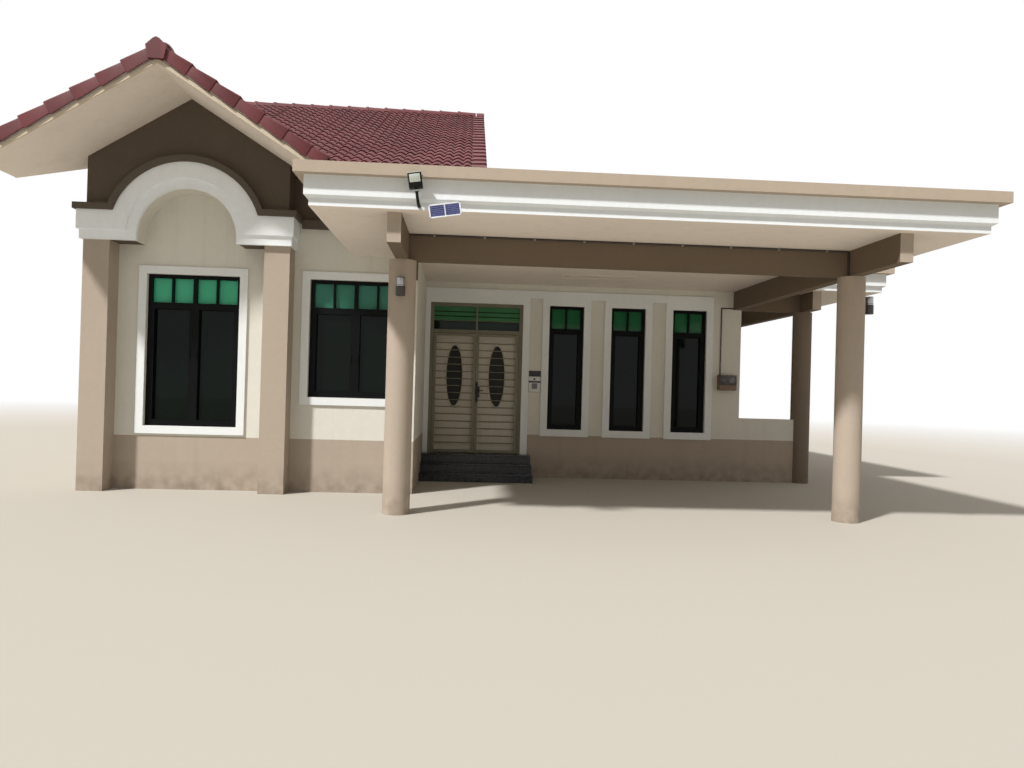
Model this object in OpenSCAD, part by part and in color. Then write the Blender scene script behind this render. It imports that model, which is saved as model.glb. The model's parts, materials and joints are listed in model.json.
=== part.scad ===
// Single-storey bungalow with an arched gable bay and a flat-roofed car porch.
// X runs along the front, Y from front to back, Z up from the ground.
// The origin is the middle of the house on the ground, under the main ridge.

/* [House body] */
// Depth over the front and rear walls
house_d = 10940; // [10400:20:11500]
// How far the entrance wall stands behind the front wall
recess_d = 2360; // [2000:10:2600]
// Thickness of a masonry wall
wall_t = 150; // [110:5:200]
// Height of the finished floor above the ground
floor_h = 400; // [350:10:450]

/* [Gable bay] */
// Half width over the two square pillars
pillar_half = 1385; // [1350:5:1420]
// Width of a square pillar
pillar_w = 348; // [300:2:400]
// Bare wall between the right pillar and the second window's surround
win2_gap = 122; // [90:2:160]
// Bare wall from that window's opening to the corner beside the door
corner_w = 235; // [220:1:300]
// How far the pillars stand in front of the wall
pillar_d = 300; // [250:5:350]
// Inset of the gable wall from the outer faces of the pillars
gable_in = 30; // [10:5:60]
// Inner radius of the arch
arch_r = 668; // [600:4:720]
// Height of the centre of the arch
arch_z = 3490; // [3470:5:3560]
// Width of the white band round the arch
arch_band_w = 348; // [300:4:400]
// Width of the lower of its two fascias
arch_fascia_w = 130; // [90:5:180]
// Projection of the lower fascia
arch_fascia_d = 60; // [40:2:80]
// Projection of the upper fascia
arch_band_d = 93; // [85:1:110]
// Underside of the band, where the pillars end
band_z = 3420; // [3380:5:3460]
// Height of the level part of the band
band_h = 390; // [340:5:440]
// How far the band runs past the gable wall at the sides
band_side = 90; // [60:5:120]
// Width of the moulding round the band
coping_w = 85; // [60:5:110]
// Projection of that moulding
coping_d = 130; // [115:1:150]
// Height of the moulding carried on along the front wall
wall_coping_h = 120; // [90:5:130]
// Drop of that moulding below the underside of the arch's moulding
wall_coping_drop = 80; // [40:5:85]

/* [Pitched roofs] */
// Slope of the main roof, in degrees
pitch = 26.5; // [24:0.5:30]
// Slope of the bay's roof, in degrees
bay_pitch = 32; // [29:0.5:34]
// Underside of the eaves
eave_z = 4110; // [4080:5:4200]
// Height of the roof build-up, measured straight up
roof_v = 215; // [180:5:260]
// Overhang of the eaves in front of the walls
eave_out = 690; // [600:10:760]
// Overhang of the main roof past the left wall, which the bay's eaves keep to
verge_left = 701; // [600:1:800]
// Overhang of the bay roof in front of its pillars
verge_out = 1156; // [900:4:1300]
// Overhang of the main roof past the return wall
verge_side = 894; // [700:2:1000]
// Radius of a ridge tile
ridge_r = 125; // [100:5:150]
// Length of one verge tile along the slope
verge_pitch = 330; // [300:5:400]
// How far a verge tile's face hangs below the slope
verge_drop = 132; // [110:2:140]
// Thickness of a verge tile
verge_t = 28; // [20:2:36]
// How much of a ridge tile's radius sinks into the roof
ridge_sunk = 0.55; // [0.4:0.01:0.7]
// Width of a verge tile on top of the slope
verge_top = 150; // [110:5:200]
// Height of a verge tile's lower end over the slope
verge_step = 36; // [20:2:44]
// Gap between the verge tiles and the board under them
barge_gap = 6; // [3:1:10]
// Thickness of that board
barge_t = 20; // [15:1:28]

/* [Car porch] */
// Underside of the flat roof
soffit_z = 3380; // [3340:5:3410]
// Thickness of the flat roof slab
slab_t = 150; // [120:5:180]
// Overhang of the porch roof left of the left column's centre
roof_l_out = 869; // [800:1:940]
// Overhang of the porch roof past the right wall
roof_r_out = 785; // [700:5:860]
// Overhang of the porch roof in front of its columns
porch_out = 1337; // [1200:1:1400]
// Overhang of the side roof past its columns' centres
side_r_out = 1075; // [950:5:1180]
// Overhang of the side roof in front of its column
side_out = 705; // [600:5:800]
// Overhang of the flat roof behind the rear wall
roof_b_out = 690; // [500:10:760]
// Distance of the front columns from the front wall
col_out = 1670; // [1600:5:1800]
// Radius of the round columns
col_r = 165; // [140:1:180]
// Distance of the side columns' centres from the right wall
col_s_out = 1150; // [1050:5:1250]
// Width of a porch beam
beam_w = 150; // [120:2:180]
// Height of a porch beam
beam_h = 320; // [260:5:360]
// Distance of a beam's free end from the edge of the underside
beam_end_in = 140; // [100:5:300]
// Top of the low wall beside the porch
low_wall_h = 1130; // [1000:10:1250]

/* [Cornice] */
// Height of the white cornice
cornice_h = 310; // [300:5:340]
// Width of the kerb behind the cornice
kerb_w = 150; // [120:5:200]
// Height of its lower face
corn_low_h = 78; // [60:2:90]
// Height of the slope between its lower and upper faces
corn_rise_h = 27; // [15:1:35]
// Projection of its upper face
corn_out = 46; // [30:2:60]
// Projection of the capping band
cap_d = 140; // [100:2:180]
// Height of the capping band
cap_h = 120; // [100:5:160]

/* [Windows and doors] */
// Level of every window and door head
head_z = 3022; // [2980:2:3050]
// Width of a front window
win_w = 1280; // [1150:2:1330]
// Sill of the window under the arch
win1_sill = 890; // [850:5:1100]
// Sill of the other wide windows
win2_sill = 1348; // [1200:4:1500]
// Distance of the rearmost side window's centre from the rear wall's face
side_win_end = 2000; // [1800:10:2200]
// Distance between side windows
side_win_pitch = 3400; // [3200:10:3500]
// Distance of the two rear windows at the right from their middle
rear_win_out = 1510; // [1400:10:1600]
// Width of the surround round a front window
trim_w = 108; // [90:1:125]
// Projection of a surround
trim_d = 30; // [20:1:45]
// Width of a narrow window
slot_w = 612; // [540:2:660]
// Sill of the narrow windows
slot_sill = 851; // [830:1:950]
// Number of narrow windows
slot_n = 3; // [2:1:3]
// White border beside a narrow window
slot_side = 121.5; // [100:0.5:140]
// Width of the tan strip beside the door
strip1_w = 221; // [190:1:250]
// Width of the tan strips between them
strip_w = 245; // [200:1:260]
// Bare wall right of the white field
wall_end = 509.5; // [440:0.5:580]
// Height of the band over the narrow windows
frieze_h = 250; // [200:5:300]
// Width of a window's outer frame
frame_w = 50; // [40:1:70]
// Depth of a window frame
frame_d = 60; // [50:1:80]
// Width of a casement's own frame
sash_w = 40; // [30:1:55]
// Height of a window's top lights
light_h = 420; // [350:5:500]
// Width of the bar that halves a top light
light_bar_w = 26; // [18:1:36]
// Thickness of the glass
glass_t = 6; // [4:1:10]
// Wall between the return wall and the doorway
nib_w = 81; // [75:1:110]
// Width of the doorway
door_w = 1617; // [1560:1:1640]
// Height of the door leaves over the floor, with the frame
leaf_h = 2154; // [2080:2:2200]
// Width of the door frame
jamb_w = 60; // [50:1:75]
// Depth of the door frame's face behind the wall's face
frame_front_in = 10; // [5:1:20]
// Depth of the door frame's back behind the wall's back
frame_back_in = 20; // [15:1:30]
// Thickness of a door leaf
leaf_t = 40; // [36:1:50]
// Gap round each moving leaf
leaf_gap = 6; // [5:0.5:8]
// Height of a leaf's oval glass
oval_h = 1060; // [900:10:1100]
// Height of the oval's middle over the floor
oval_mid = 1352; // [1250:2:1400]
// Width of a leaf's oval glass
oval_w = 275; // [230:5:300]
// Depth of the grille's frame
grille_t = 30; // [25:1:36]
// Distance between the grille's bars
bar_pitch = 132; // [120:2:160]
// Diameter of the grille's bars
bar_d = 16; // [12:1:20]
// Width of the grille's frame
stile_w = 45; // [36:1:55]
// Radius of a hinge knuckle
knuckle_r = 9; // [8:0.5:11]
// Height of a hinge knuckle
knuckle_h = 60; // [50:1:70]
// Thickness of a hinge's tab
hinge_tab = 5; // [4:0.5:7]
// Height of the lowest hinge over the floor
hinge_low = 250; // [200:5:300]
// Distance of the top hinge under the transom
hinge_top = 400; // [350:5:500]

/* [Entrance steps] */
// How far the steps run past the doorway
steps_out = 162; // [110:2:360]
// Depth of a tread
tread_d = 290; // [260:5:320]

/* [Lamps and fittings] */
// Height of the wall lamps
lamp_z = 2720; // [2650:5:2850]
// Width of a wall lamp's back plate
lamp_plate_w = 70; // [60:1:80]
// Thickness of the plate
lamp_plate_t = 20; // [16:1:24]
// Height of the plate
lamp_plate_h = 180; // [160:2:190]
// Radius of a wall lamp's lower body
lamp_r = 55; // [52:1:58]
// Height of that body
lamp_body_h = 112; // [90:1:125]
// Radius of a wall lamp's tube
lamp_tube_r = 50; // [44:1:51]
// Height of the tube
lamp_tube_h = 105; // [90:1:130]
// Distance of the flood light from the left column's centre
flood_out = 270; // [180:5:380]
// Width of the flood light
flood_w = 140; // [120:2:160]
// Height of the flood light
flood_h = 160; // [130:2:180]
// Depth of the flood light
flood_d = 60; // [50:1:75]
// Gap between the flood light's back and the capping band
flood_gap = 10; // [5:1:30]
// Width of its post and bracket
flood_arm_w = 30; // [20:2:46]
// Height of the bracket
flood_arm_h = 20; // [10:1:24]
// Height of the bracket over the soffit
flood_foot = 20; // [10:1:26]
// Height of the post under the flood light
flood_post_h = 155; // [120:5:190]
// Lean of the flood light and the solar panel
flood_lean = 9; // [0:1:12]
// Width of the solar panel
solar_w = 330; // [300:2:380]
// Height of the solar panel
solar_h = 140; // [120:2:180]
// Thickness of the solar panel
solar_t = 18; // [14:1:24]
// Gap between the flood light's bracket and the solar panel
solar_gap = 92; // [60:2:140]
// Distance of the solar panel's back from the cornice's lower face
solar_out = 150; // [60:5:200]
// Drop of the solar panel's middle below the soffit
solar_drop = 29; // [20:1:36]
// Width of the solar panel's arm
solar_arm_w = 36; // [20:2:50]
// Height of that arm
solar_arm_h = 20; // [10:1:24]
// Distance of that arm below the panel's top edge
solar_arm_in = 5; // [2:1:10]
// Distance of the tube lamp's end from the doorway
tube_gap = 492; // [400:4:600]
// Length of the tube lamp
tube_l = 1200; // [1100:10:1300]
// Distance of the tube lamp from the entrance wall
tube_out = 1340; // [1200:10:1500]
// Width of the tube lamp's casing
tube_case_w = 50; // [40:1:60]
// Height of the casing
tube_case_h = 30; // [24:1:40]
// Radius of the tube
tube_r = 13; // [11:0.5:15]
// Width of the meter box
meter_w = 320; // [280:2:340]
// Height of the meter box
meter_h = 270; // [240:2:300]
// Depth of the meter box
meter_d = 110; // [90:2:130]
// Height of the meter box over the ground
meter_z = 1620; // [1550:5:1700]
// Height of the number plate
plate_h = 375; // [340:5:420]
// Height of the number plate's lower end over the ground
plate_z = 1495; // [1450:5:1560]
// Thickness of the number plate
plate_t = 4; // [3:0.5:6]
// Width of the strip left bare at each side of the number plate
plate_in = 4; // [2:1:16]

/* [Hidden] */

gable_half = pillar_half - gable_in;
slot_pitch = slot_w + 2*slot_side + strip_w;
// Lengths along the front, from the left corner to the right one
bay_to_return = pillar_half + win2_gap + trim_w + win_w + corner_w;
door_to_slot = 2*slot_side + strip1_w + slot_w/2;
slots_to_end = (slot_n - 1)*slot_pitch + slot_w/2 + slot_side + wall_end;
house_w = gable_half + bay_to_return + nib_w + door_w + door_to_slot + slots_to_end;
half_w = house_w/2;
half_d = house_d/2;
front_y = -half_d;
entry_y = front_y + recess_d;
// Centre line of the bay, whose gable wall is flush with the left wall
bay_x = gable_half - half_w;
bay_half = gable_half + verge_left;
// Outer face of the return wall, flush with the beam on the left column
return_x = bay_x + bay_to_return;
win2_x = return_x - corner_w - win_w/2;
col_l_x = return_x - beam_w/2;
door_l = return_x + nib_w;
slot_x = door_l + door_w + door_to_slot;
surround_r = half_w - wall_end;
col_s_x = half_w + col_s_out;
roof_l = col_l_x - roof_l_out;
roof_r = half_w + roof_r_out;
side_r = col_s_x + side_r_out;
flood_x = col_l_x + flood_out;
col_r_x = half_w - beam_w/2;
col_y = front_y - col_out;
pillar_y = front_y - pillar_d;
slope = tan(pitch);
bay_slope = tan(bay_pitch);
eave_y = half_d + eave_out;
main_l = bay_x - bay_half;
main_r = return_x + verge_side;
bay_front = pillar_y - verge_out;
beam_z = soffit_z - beam_h;
cap_z = soffit_z + cornice_h;
side_col_y = entry_y + wall_t/2;
rear_col_y = half_d - wall_t/2;
roof_f = col_y - porch_out;
side_f = side_col_y - side_out;
roof_b = half_d + roof_b_out;
door_r = door_l + door_w;
steps_r = door_r + steps_out;
tube_x = door_r + tube_gap;
// Centres of the left wall's windows; the right wall has the first two
side_win_y = [for (i = [0 : 2]) half_d - side_win_end - i*side_win_pitch];
right_win_y = [side_win_y[0], side_win_y[1]];
side_col_ys = [side_col_y, (side_col_y + rear_col_y)/2, rear_col_y];
rear_mid = (return_x + col_r_x)/2;
rear_win_x = [bay_x, rear_mid - rear_win_out, rear_mid + rear_win_out];
// Depth of a window frame's outer face behind the wall's face
frame_in = (wall_t - frame_d)/2;
transom_z = floor_h + leaf_h;
door_mid = door_l + door_w/2;
frame_back = entry_y + wall_t - frame_back_in;
frame_front = entry_y + frame_front_in;
// Hinge heights, and the axes of the leaves and the grilles
hinge_z = [floor_h + hinge_low, floor_h + leaf_h/2, transom_z - hinge_top];
leaf_axis_y = frame_back + knuckle_r;
grille_axis_y = frame_front - knuckle_r;
leaf_l_x = door_l + jamb_w + leaf_gap/2;
leaf_r_x = door_r - jamb_w - leaf_gap/2;
oval_z = floor_h + oval_mid;
ridge_sink = ridge_r*ridge_sunk;
// Air between a curved or sloping face and its neighbour
curve_gap = 0.3;
tiny = 1;
far = 20000;
$fn = 96;

wall_paint = [0.93, 0.91, 0.85];
taupe = [0.74, 0.65, 0.56];
dark_taupe = [0.42, 0.36, 0.30];
trim_white = [0.95, 0.95, 0.93];
roof_tile = [0.45, 0.22, 0.22];
beige = [0.76, 0.68, 0.58];
frame_black = [0.12, 0.13, 0.13];
glass_green = [0.10, 0.25, 0.20, 0.5];
door_grey = [0.62, 0.58, 0.54];
grille_olive = [0.38, 0.38, 0.30];

// Height of the main roof's underside at depth y
function main_under(y) = eave_z + (eave_y - abs(y))*slope;
// Height of the bay roof's underside at place x
function bay_under(x) = eave_z + (bay_half - abs(x - bay_x))*bay_slope;

// Height of a wall's top under the main roof at depth y
function wall_top(y) = main_under(y) - curve_gap;
// The two halves of a stretch, on either side of a bar
function halves(p, bar) = [[p[0], (p[0] + p[1] - bar)/2], [(p[0] + p[1] + bar)/2, p[1]]];

// A box between two corners
module block(low, high) {
    translate(low) cube(high - low);
}

// Extrudes an outline drawn in X and Z, from y0 to y1
module along_y(y0, y1) {
    translate([0, y1, 0]) rotate([90, 0, 0]) linear_extrude(y1 - y0) children();
}

// Extrudes an outline drawn in Y and Z, from x0 to x1
module along_x(x0, x1) {
    translate([x0, 0, 0]) rotate([90, 0, 90]) linear_extrude(x1 - x0) children();
}

// A rectangle between two corners
module rect(low, high) {
    translate(low) square(high - low);
}

// The floor, with a tongue through the doorway
module floor_slab() {
    inner = wall_t;
    color([0.6, 0.58, 0.55]) linear_extrude(floor_h) {
        rect([-half_w + inner, front_y + inner], [return_x - wall_t, half_d - inner]);
        rect([return_x - wall_t - tiny, entry_y + wall_t], [half_w - inner, half_d - inner]);
        rect([return_x, entry_y], [door_r, entry_y + wall_t + tiny]);
    }
}

// The outline of a wall under the main roof's slope, between two depths
module sloped_top(y0, y1, z0) {
    polygon([[y0, z0], [y1, z0], [y1, wall_top(y1)], [y0, wall_top(y0)]]);
}

// A wide window's opening, cut through a wall that faces front or back
module window_hole(x, sill, w) {
    block([x - w/2, -far/2, sill], [x + w/2, far/2, head_z]);
}

module front_wall() {
    color(wall_paint) difference() {
        along_x(-half_w, return_x) sloped_top(front_y, front_y + wall_t, 0);
        window_hole(bay_x, win1_sill, win_w);
        window_hole(win2_x, win2_sill, win_w);
    }
}

// The left wall, which ends in the main roof's left gable
module left_wall() {
    color(wall_paint) difference() {
        along_x(-half_w, -half_w + wall_t) polygon([
            [front_y + wall_t, 0], [half_d - wall_t, 0],
            [half_d - wall_t, wall_top(half_d - wall_t)], [0, wall_top(0)],
            [front_y + wall_t, wall_top(front_y + wall_t)]
        ]);
        for (y = side_win_y) side_window_hole(-half_w, y);
    }
}

// The window at depth y in a side wall whose outer face is at x
module side_window_hole(x, y) {
    block([x - wall_t - tiny, y - win_w/2, win2_sill], [x + wall_t + tiny, y + win_w/2, head_z]);
}

module rear_wall() {
    color(wall_paint) difference() {
        union() {
            along_x(-half_w, return_x) sloped_top(half_d - wall_t, half_d, 0);
            block([return_x - tiny, half_d - wall_t, 0], [half_w, half_d, soffit_z]);
        }
        for (x = rear_win_x) window_hole(x, win2_sill, win_w);
    }
}

module right_wall() {
    color(wall_paint) difference() {
        block([half_w - wall_t, entry_y + wall_t, 0], [half_w, half_d - wall_t, soffit_z]);
        for (y = right_win_y) side_window_hole(half_w, y);
    }
}

// The wall from the front wall back to the entrance wall
module return_wall() {
    color(wall_paint)
        block([return_x - wall_t, front_y + wall_t, 0], [return_x, entry_y + wall_t, soffit_z]);
}

// The gable over the flat roof, on the slab's edge
module upper_gable_wall() {
    z0 = soffit_z + slab_t;
    color(wall_paint) along_x(return_x - wall_t, return_x) polygon([
        [front_y + wall_t, z0], [half_d - wall_t, z0],
        [half_d - wall_t, wall_top(half_d - wall_t)], [0, wall_top(0)],
        [front_y + wall_t, wall_top(front_y + wall_t)]
    ]);
}

// The entrance wall right of the door, with its row of narrow windows
module entrance_wall() {
    color(wall_paint) difference() {
        block([door_r, entry_y, 0], [half_w, entry_y + wall_t, soffit_z]);
        for (i = [0 : slot_n - 1])
            block([slot_x + i*slot_pitch - slot_w/2, entry_y - tiny, slot_sill],
                  [slot_x + i*slot_pitch + slot_w/2, entry_y + wall_t + tiny, head_z]);
    }
}

module entrance_lintel() {
    color(wall_paint) block([return_x, entry_y, head_z], [door_r, entry_y + wall_t, soffit_z]);
}

module entrance_nib() {
    color(wall_paint) block([return_x, entry_y, floor_h], [door_l, entry_y + wall_t, head_z]);
}

module pillar(x0) {
    color(taupe) block([x0, pillar_y, 0], [x0 + pillar_w, front_y, band_z]);
}

module pillar_left() {
    pillar(bay_x - pillar_half);
}

module pillar_right() {
    pillar(bay_x + pillar_half - pillar_w);
}

// The wall over the arch, up to the bay roof
module gable_arch_wall() {
    side_top = bay_under(bay_x + gable_half) - curve_gap;
    color(dark_taupe) along_y(pillar_y, front_y) difference() {
        polygon([
            [bay_x - gable_half, band_z], [bay_x + gable_half, band_z],
            [bay_x + gable_half, side_top], [bay_x, bay_under(bay_x) - curve_gap],
            [bay_x - gable_half, side_top]
        ]);
        arch_void(arch_r);
    }
}

// The arch's opening: a half circle on short straight legs
module arch_void(r) {
    translate([bay_x, arch_z]) circle(r);
    rect([bay_x - r, band_z - tiny], [bay_x + r, arch_z]);
}

// Outline of the band, with its level ends run past the gable wall by side
module band_outline(low, r, side) {
    difference() {
        union() {
            translate([bay_x, arch_z]) circle(r);
            rect([bay_x - gable_half - side, low], [bay_x + gable_half + side, band_z + band_h]);
        }
        rect([bay_x - far, band_z - far], [bay_x + far, low]);
    }
}

module arch_band() {
    outer = arch_r + arch_band_w;
    step_z = band_z + arch_fascia_w;
    color(trim_white) {
        along_y(pillar_y - arch_fascia_d, pillar_y) difference() {
            band_outline(band_z, outer, arch_fascia_d);
            arch_void(arch_r);
        }
        along_y(pillar_y - arch_band_d, pillar_y - arch_fascia_d + tiny) difference() {
            band_outline(step_z, outer, band_side);
            arch_void(arch_r + arch_fascia_w);
        }
        for (s = [-1, 1]) {
            face = bay_x + s*gable_half;
            sides = [face, face + s*arch_fascia_d];
            block([min(sides), pillar_y - tiny, band_z], [max(sides), front_y, band_z + band_h]);
            upper = [face, face + s*band_side];
            block([min(upper), pillar_y - arch_fascia_d - tiny, step_z],
                  [max(upper), front_y, band_z + band_h]);
        }
    }
}

// The moulding that follows the band's upper edge
module arch_coping() {
    outer = arch_r + arch_band_w;
    low = band_z + band_h;
    color(taupe) {
        along_y(pillar_y - coping_d, pillar_y) difference() {
            union() {
                difference() {
                    translate([bay_x, arch_z]) circle(outer + coping_w);
                    rect([bay_x - far, -far], [bay_x + far, low]);
                }
                rect([bay_x - gable_half - coping_d, low],
                     [bay_x + gable_half + coping_d, low + coping_w]);
            }
            translate([bay_x, arch_z]) circle(outer);
        }
        for (s = [-1, 1]) {
            sides = [bay_x + s*gable_half, bay_x + s*(gable_half + coping_d)];
            block([min(sides), pillar_y - tiny, low], [max(sides), front_y, low + coping_w]);
        }
    }
}

// The same moulding carried on along the front wall to the porch roof
module wall_coping() {
    low = band_z + band_h - wall_coping_drop;
    color(taupe) block([bay_x + gable_half + coping_d, front_y - arch_fascia_d, low],
                       [roof_l - cap_d, front_y, low + wall_coping_h]);
}

// Outline of a frame of width w round a window
module ring(x0, x1, z0, z1, w) {
    difference() {
        rect([x0 - w, z0 - w], [x1 + w, z1 + w]);
        rect([x0, z0], [x1, z1]);
    }
}

// The surrounds on the front wall; the beam beside the door cuts into one
module front_surrounds() {
    color(trim_white) along_y(front_y - trim_d, front_y) difference() {
        union() {
            ring(bay_x - win_w/2, bay_x + win_w/2, win1_sill, head_z, trim_w);
            ring(win2_x - win_w/2, win2_x + win_w/2, win2_sill, head_z, trim_w);
        }
        rect([col_l_x - beam_w/2, beam_z], [col_l_x + beam_w/2, soffit_z]);
    }
}

// The surrounds on the rear wall and the side walls
module rear_surrounds() {
    color(trim_white) {
        along_y(half_d, half_d + trim_d) for (x = rear_win_x)
            ring(x - win_w/2, x + win_w/2, win2_sill, head_z, trim_w);
        along_x(-half_w - trim_d, -half_w) for (y = side_win_y)
            ring(y - win_w/2, y + win_w/2, win2_sill, head_z, trim_w);
        along_x(half_w, half_w + trim_d) for (y = right_win_y)
            ring(y - win_w/2, y + win_w/2, win2_sill, head_z, trim_w);
    }
}

// The white field round the door and the narrow windows
module entrance_surround() {
    side = slot_side;
    top = head_z + frieze_h;
    strip_top = head_z + side;
    color(trim_white) along_y(entry_y - trim_d, entry_y) difference() {
        union() {
            rect([return_x, slot_sill - side], [surround_r, top]);
            rect([return_x, floor_h], [door_r + side, slot_sill]);
        }
        rect([door_l, floor_h - tiny], [door_r, head_z]);
        for (i = [0 : slot_n - 1]) {
            x = slot_x + i*slot_pitch;
            rect([x - slot_w/2, slot_sill], [x + slot_w/2, head_z]);
            if (i > 0)
                rect([x - slot_pitch/2 - strip_w/2, 0], [x - slot_pitch/2 + strip_w/2, strip_top]);
        }
        rect([door_r + side, 0], [slot_x - slot_w/2 - side, strip_top]);
    }
}

// A window frame's outline: outer frame, mullion, transom and casements
module window_outline(x0, x1, z0, z1) {
    zt = z1 - light_h;
    mid = (x0 + x1)/2;
    difference() {
        rect([x0, z0], [x1, z1]);
        for (p = [[x0 + frame_w, mid - frame_w/2], [mid + frame_w/2, x1 - frame_w]]) {
            rect([p[0] + sash_w, z0 + frame_w + sash_w], [p[1] - sash_w, zt - frame_w/2 - sash_w]);
            for (q = halves(p, light_bar_w)) rect([q[0], zt + frame_w/2], [q[1], z1 - frame_w]);
        }
    }
}

// A narrow window's frame: one casement and two top lights
module slot_outline(x0, x1, z0, z1) {
    zt = z1 - light_h;
    difference() {
        rect([x0, z0], [x1, z1]);
        rect([x0 + frame_w + sash_w, z0 + frame_w + sash_w],
             [x1 - frame_w - sash_w, zt - frame_w/2 - sash_w]);
        for (p = halves([x0 + frame_w, x1 - frame_w], light_bar_w))
            rect([p[0], zt + frame_w/2], [p[1], z1 - frame_w]);
    }
}

module front_window_frames() {
    y0 = front_y + frame_in;
    color(frame_black) along_y(y0, y0 + frame_d) {
        window_outline(bay_x - win_w/2, bay_x + win_w/2, win1_sill, head_z);
        window_outline(win2_x - win_w/2, win2_x + win_w/2, win2_sill, head_z);
    }
}

module front_window_glass() {
    y0 = front_y + frame_in + frame_d;
    color(glass_green) along_y(y0, y0 + glass_t) {
        rect([bay_x - win_w/2, win1_sill], [bay_x + win_w/2, head_z]);
        rect([win2_x - win_w/2, win2_sill], [win2_x + win_w/2, head_z]);
    }
}

module slot_window_frames() {
    y0 = entry_y + frame_in;
    color(frame_black) along_y(y0, y0 + frame_d) for (i = [0 : slot_n - 1]) {
        x = slot_x + i*slot_pitch;
        slot_outline(x - slot_w/2, x + slot_w/2, slot_sill, head_z);
    }
}

module slot_window_glass() {
    y0 = entry_y + frame_in + frame_d;
    color(glass_green) along_y(y0, y0 + glass_t) for (i = [0 : slot_n - 1]) {
        x = slot_x + i*slot_pitch;
        rect([x - slot_w/2, slot_sill], [x + slot_w/2, head_z]);
    }
}

module rear_window_frames() {
    y1 = half_d - frame_in;
    x1 = half_w - frame_in;
    color(frame_black) {
        along_y(y1 - frame_d, y1) for (x = rear_win_x)
            window_outline(x - win_w/2, x + win_w/2, win2_sill, head_z);
        along_x(-x1, frame_d - x1) for (y = side_win_y)
            window_outline(y - win_w/2, y + win_w/2, win2_sill, head_z);
        along_x(x1 - frame_d, x1) for (y = right_win_y)
            window_outline(y - win_w/2, y + win_w/2, win2_sill, head_z);
    }
}

module rear_window_glass() {
    y1 = half_d - frame_in - frame_d;
    x1 = half_w - frame_in - frame_d;
    color(glass_green) {
        along_y(y1 - glass_t, y1) for (x = rear_win_x)
            rect([x - win_w/2, win2_sill], [x + win_w/2, head_z]);
        along_x(-x1, glass_t - x1) for (y = side_win_y)
            rect([y - win_w/2, win2_sill], [y + win_w/2, head_z]);
        along_x(x1 - glass_t, x1) for (y = right_win_y)
            rect([y - win_w/2, win2_sill], [y + win_w/2, head_z]);
    }
}

// The doorway's frame, with a transom bar and a mullion over it
module door_frame() {
    color(grille_olive) {
        along_y(frame_front, frame_back) difference() {
            rect([door_l, floor_h], [door_r, head_z]);
            rect([door_l + jamb_w, floor_h - tiny], [door_r - jamb_w, transom_z - jamb_w]);
            for (p = [[door_l + jamb_w, door_mid - jamb_w/4], [door_mid + jamb_w/4, door_r - jamb_w]])
                rect([p[0], transom_z], [p[1], head_z - jamb_w]);
        }
        for (x = [door_l + jamb_w, door_r - jamb_w])
            for (z = hinge_z) {
                hinge_half(x, leaf_axis_y, z);
                hinge_half(x, grille_axis_y, z);
            }
    }
}

module transom_glass() {
    y = (frame_front + frame_back)/2;
    color(glass_green) along_y(y, y + glass_t)
        for (p = [[door_l + jamb_w, door_mid - jamb_w/4], [door_mid + jamb_w/4, door_r - jamb_w]])
            rect([p[0], transom_z], [p[1], head_z - jamb_w]);
}

// Depths of a hinge's tab, which lies against the face its axis y stands off
function tab_depths(y) = y > entry_y + wall_t/2
    ? [y - knuckle_r, y - knuckle_r + hinge_tab]
    : [y + knuckle_r - hinge_tab, y + knuckle_r];

// The frame's lower knuckle, on a tab beside the jamb
module hinge_half(x, y, z) {
    s = x < door_mid ? 1 : -1;
    translate([x + s*leaf_gap/2, y, z]) cylinder(r = knuckle_r, h = knuckle_h);
    tab = [x - s*jamb_w/2, x];
    depths = tab_depths(y);
    block([min(tab), depths[0], z], [max(tab), depths[1], z + knuckle_h]);
}

// A leaf's upper knuckle, on a tab on the leaf's face
module leaf_knuckle(ax, y, z, s) {
    low = z + knuckle_h + curve_gap;
    translate([ax, y, low]) cylinder(r = knuckle_r, h = knuckle_h);
    tab = [ax + s*leaf_gap/2, ax + s*(leaf_gap/2 + jamb_w/2)];
    depths = tab_depths(y);
    block([min(tab), depths[0], low], [max(tab), depths[1], low + knuckle_h]);
}

// The oval's outline, by formula
module oval(w, h, steps = 48) {
    polygon([for (i = [0 : steps - 1]) [w/2*cos(360*i/steps), h/2*sin(360*i/steps)]]);
}

// Edges of a leaf that hangs at ax: s is 1 on the left, -1 on the right
function leaf_far(s) = door_mid - s*leaf_gap/2;

module door_leaf(ax, s) {
    near = ax + s*leaf_gap/2;
    x0 = min(near, leaf_far(s));
    x1 = max(near, leaf_far(s));
    color(door_grey) {
        along_y(frame_back - leaf_t, frame_back) difference() {
            rect([x0, floor_h + leaf_gap], [x1, transom_z - jamb_w - leaf_gap]);
            translate([(x0 + x1)/2, oval_z]) oval(oval_w, oval_h);
        }
        for (z = hinge_z) leaf_knuckle(ax, leaf_axis_y, z, s);
    }
}

module door_glass(ax, s) {
    mid = (ax + s*leaf_gap/2 + leaf_far(s))/2;
    y = frame_back - leaf_t/2;
    color([0.12, 0.10, 0.10]) along_y(y - glass_t/2, y + glass_t/2)
        translate([mid, oval_z]) oval(oval_w, oval_h);
}

module door_leaf_left() {
    door_leaf(leaf_l_x, 1);
}

module door_leaf_right() {
    door_leaf(leaf_r_x, -1);
}

module door_glass_left() {
    door_glass(leaf_l_x, 1);
}

module door_glass_right() {
    door_glass(leaf_r_x, -1);
}

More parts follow.
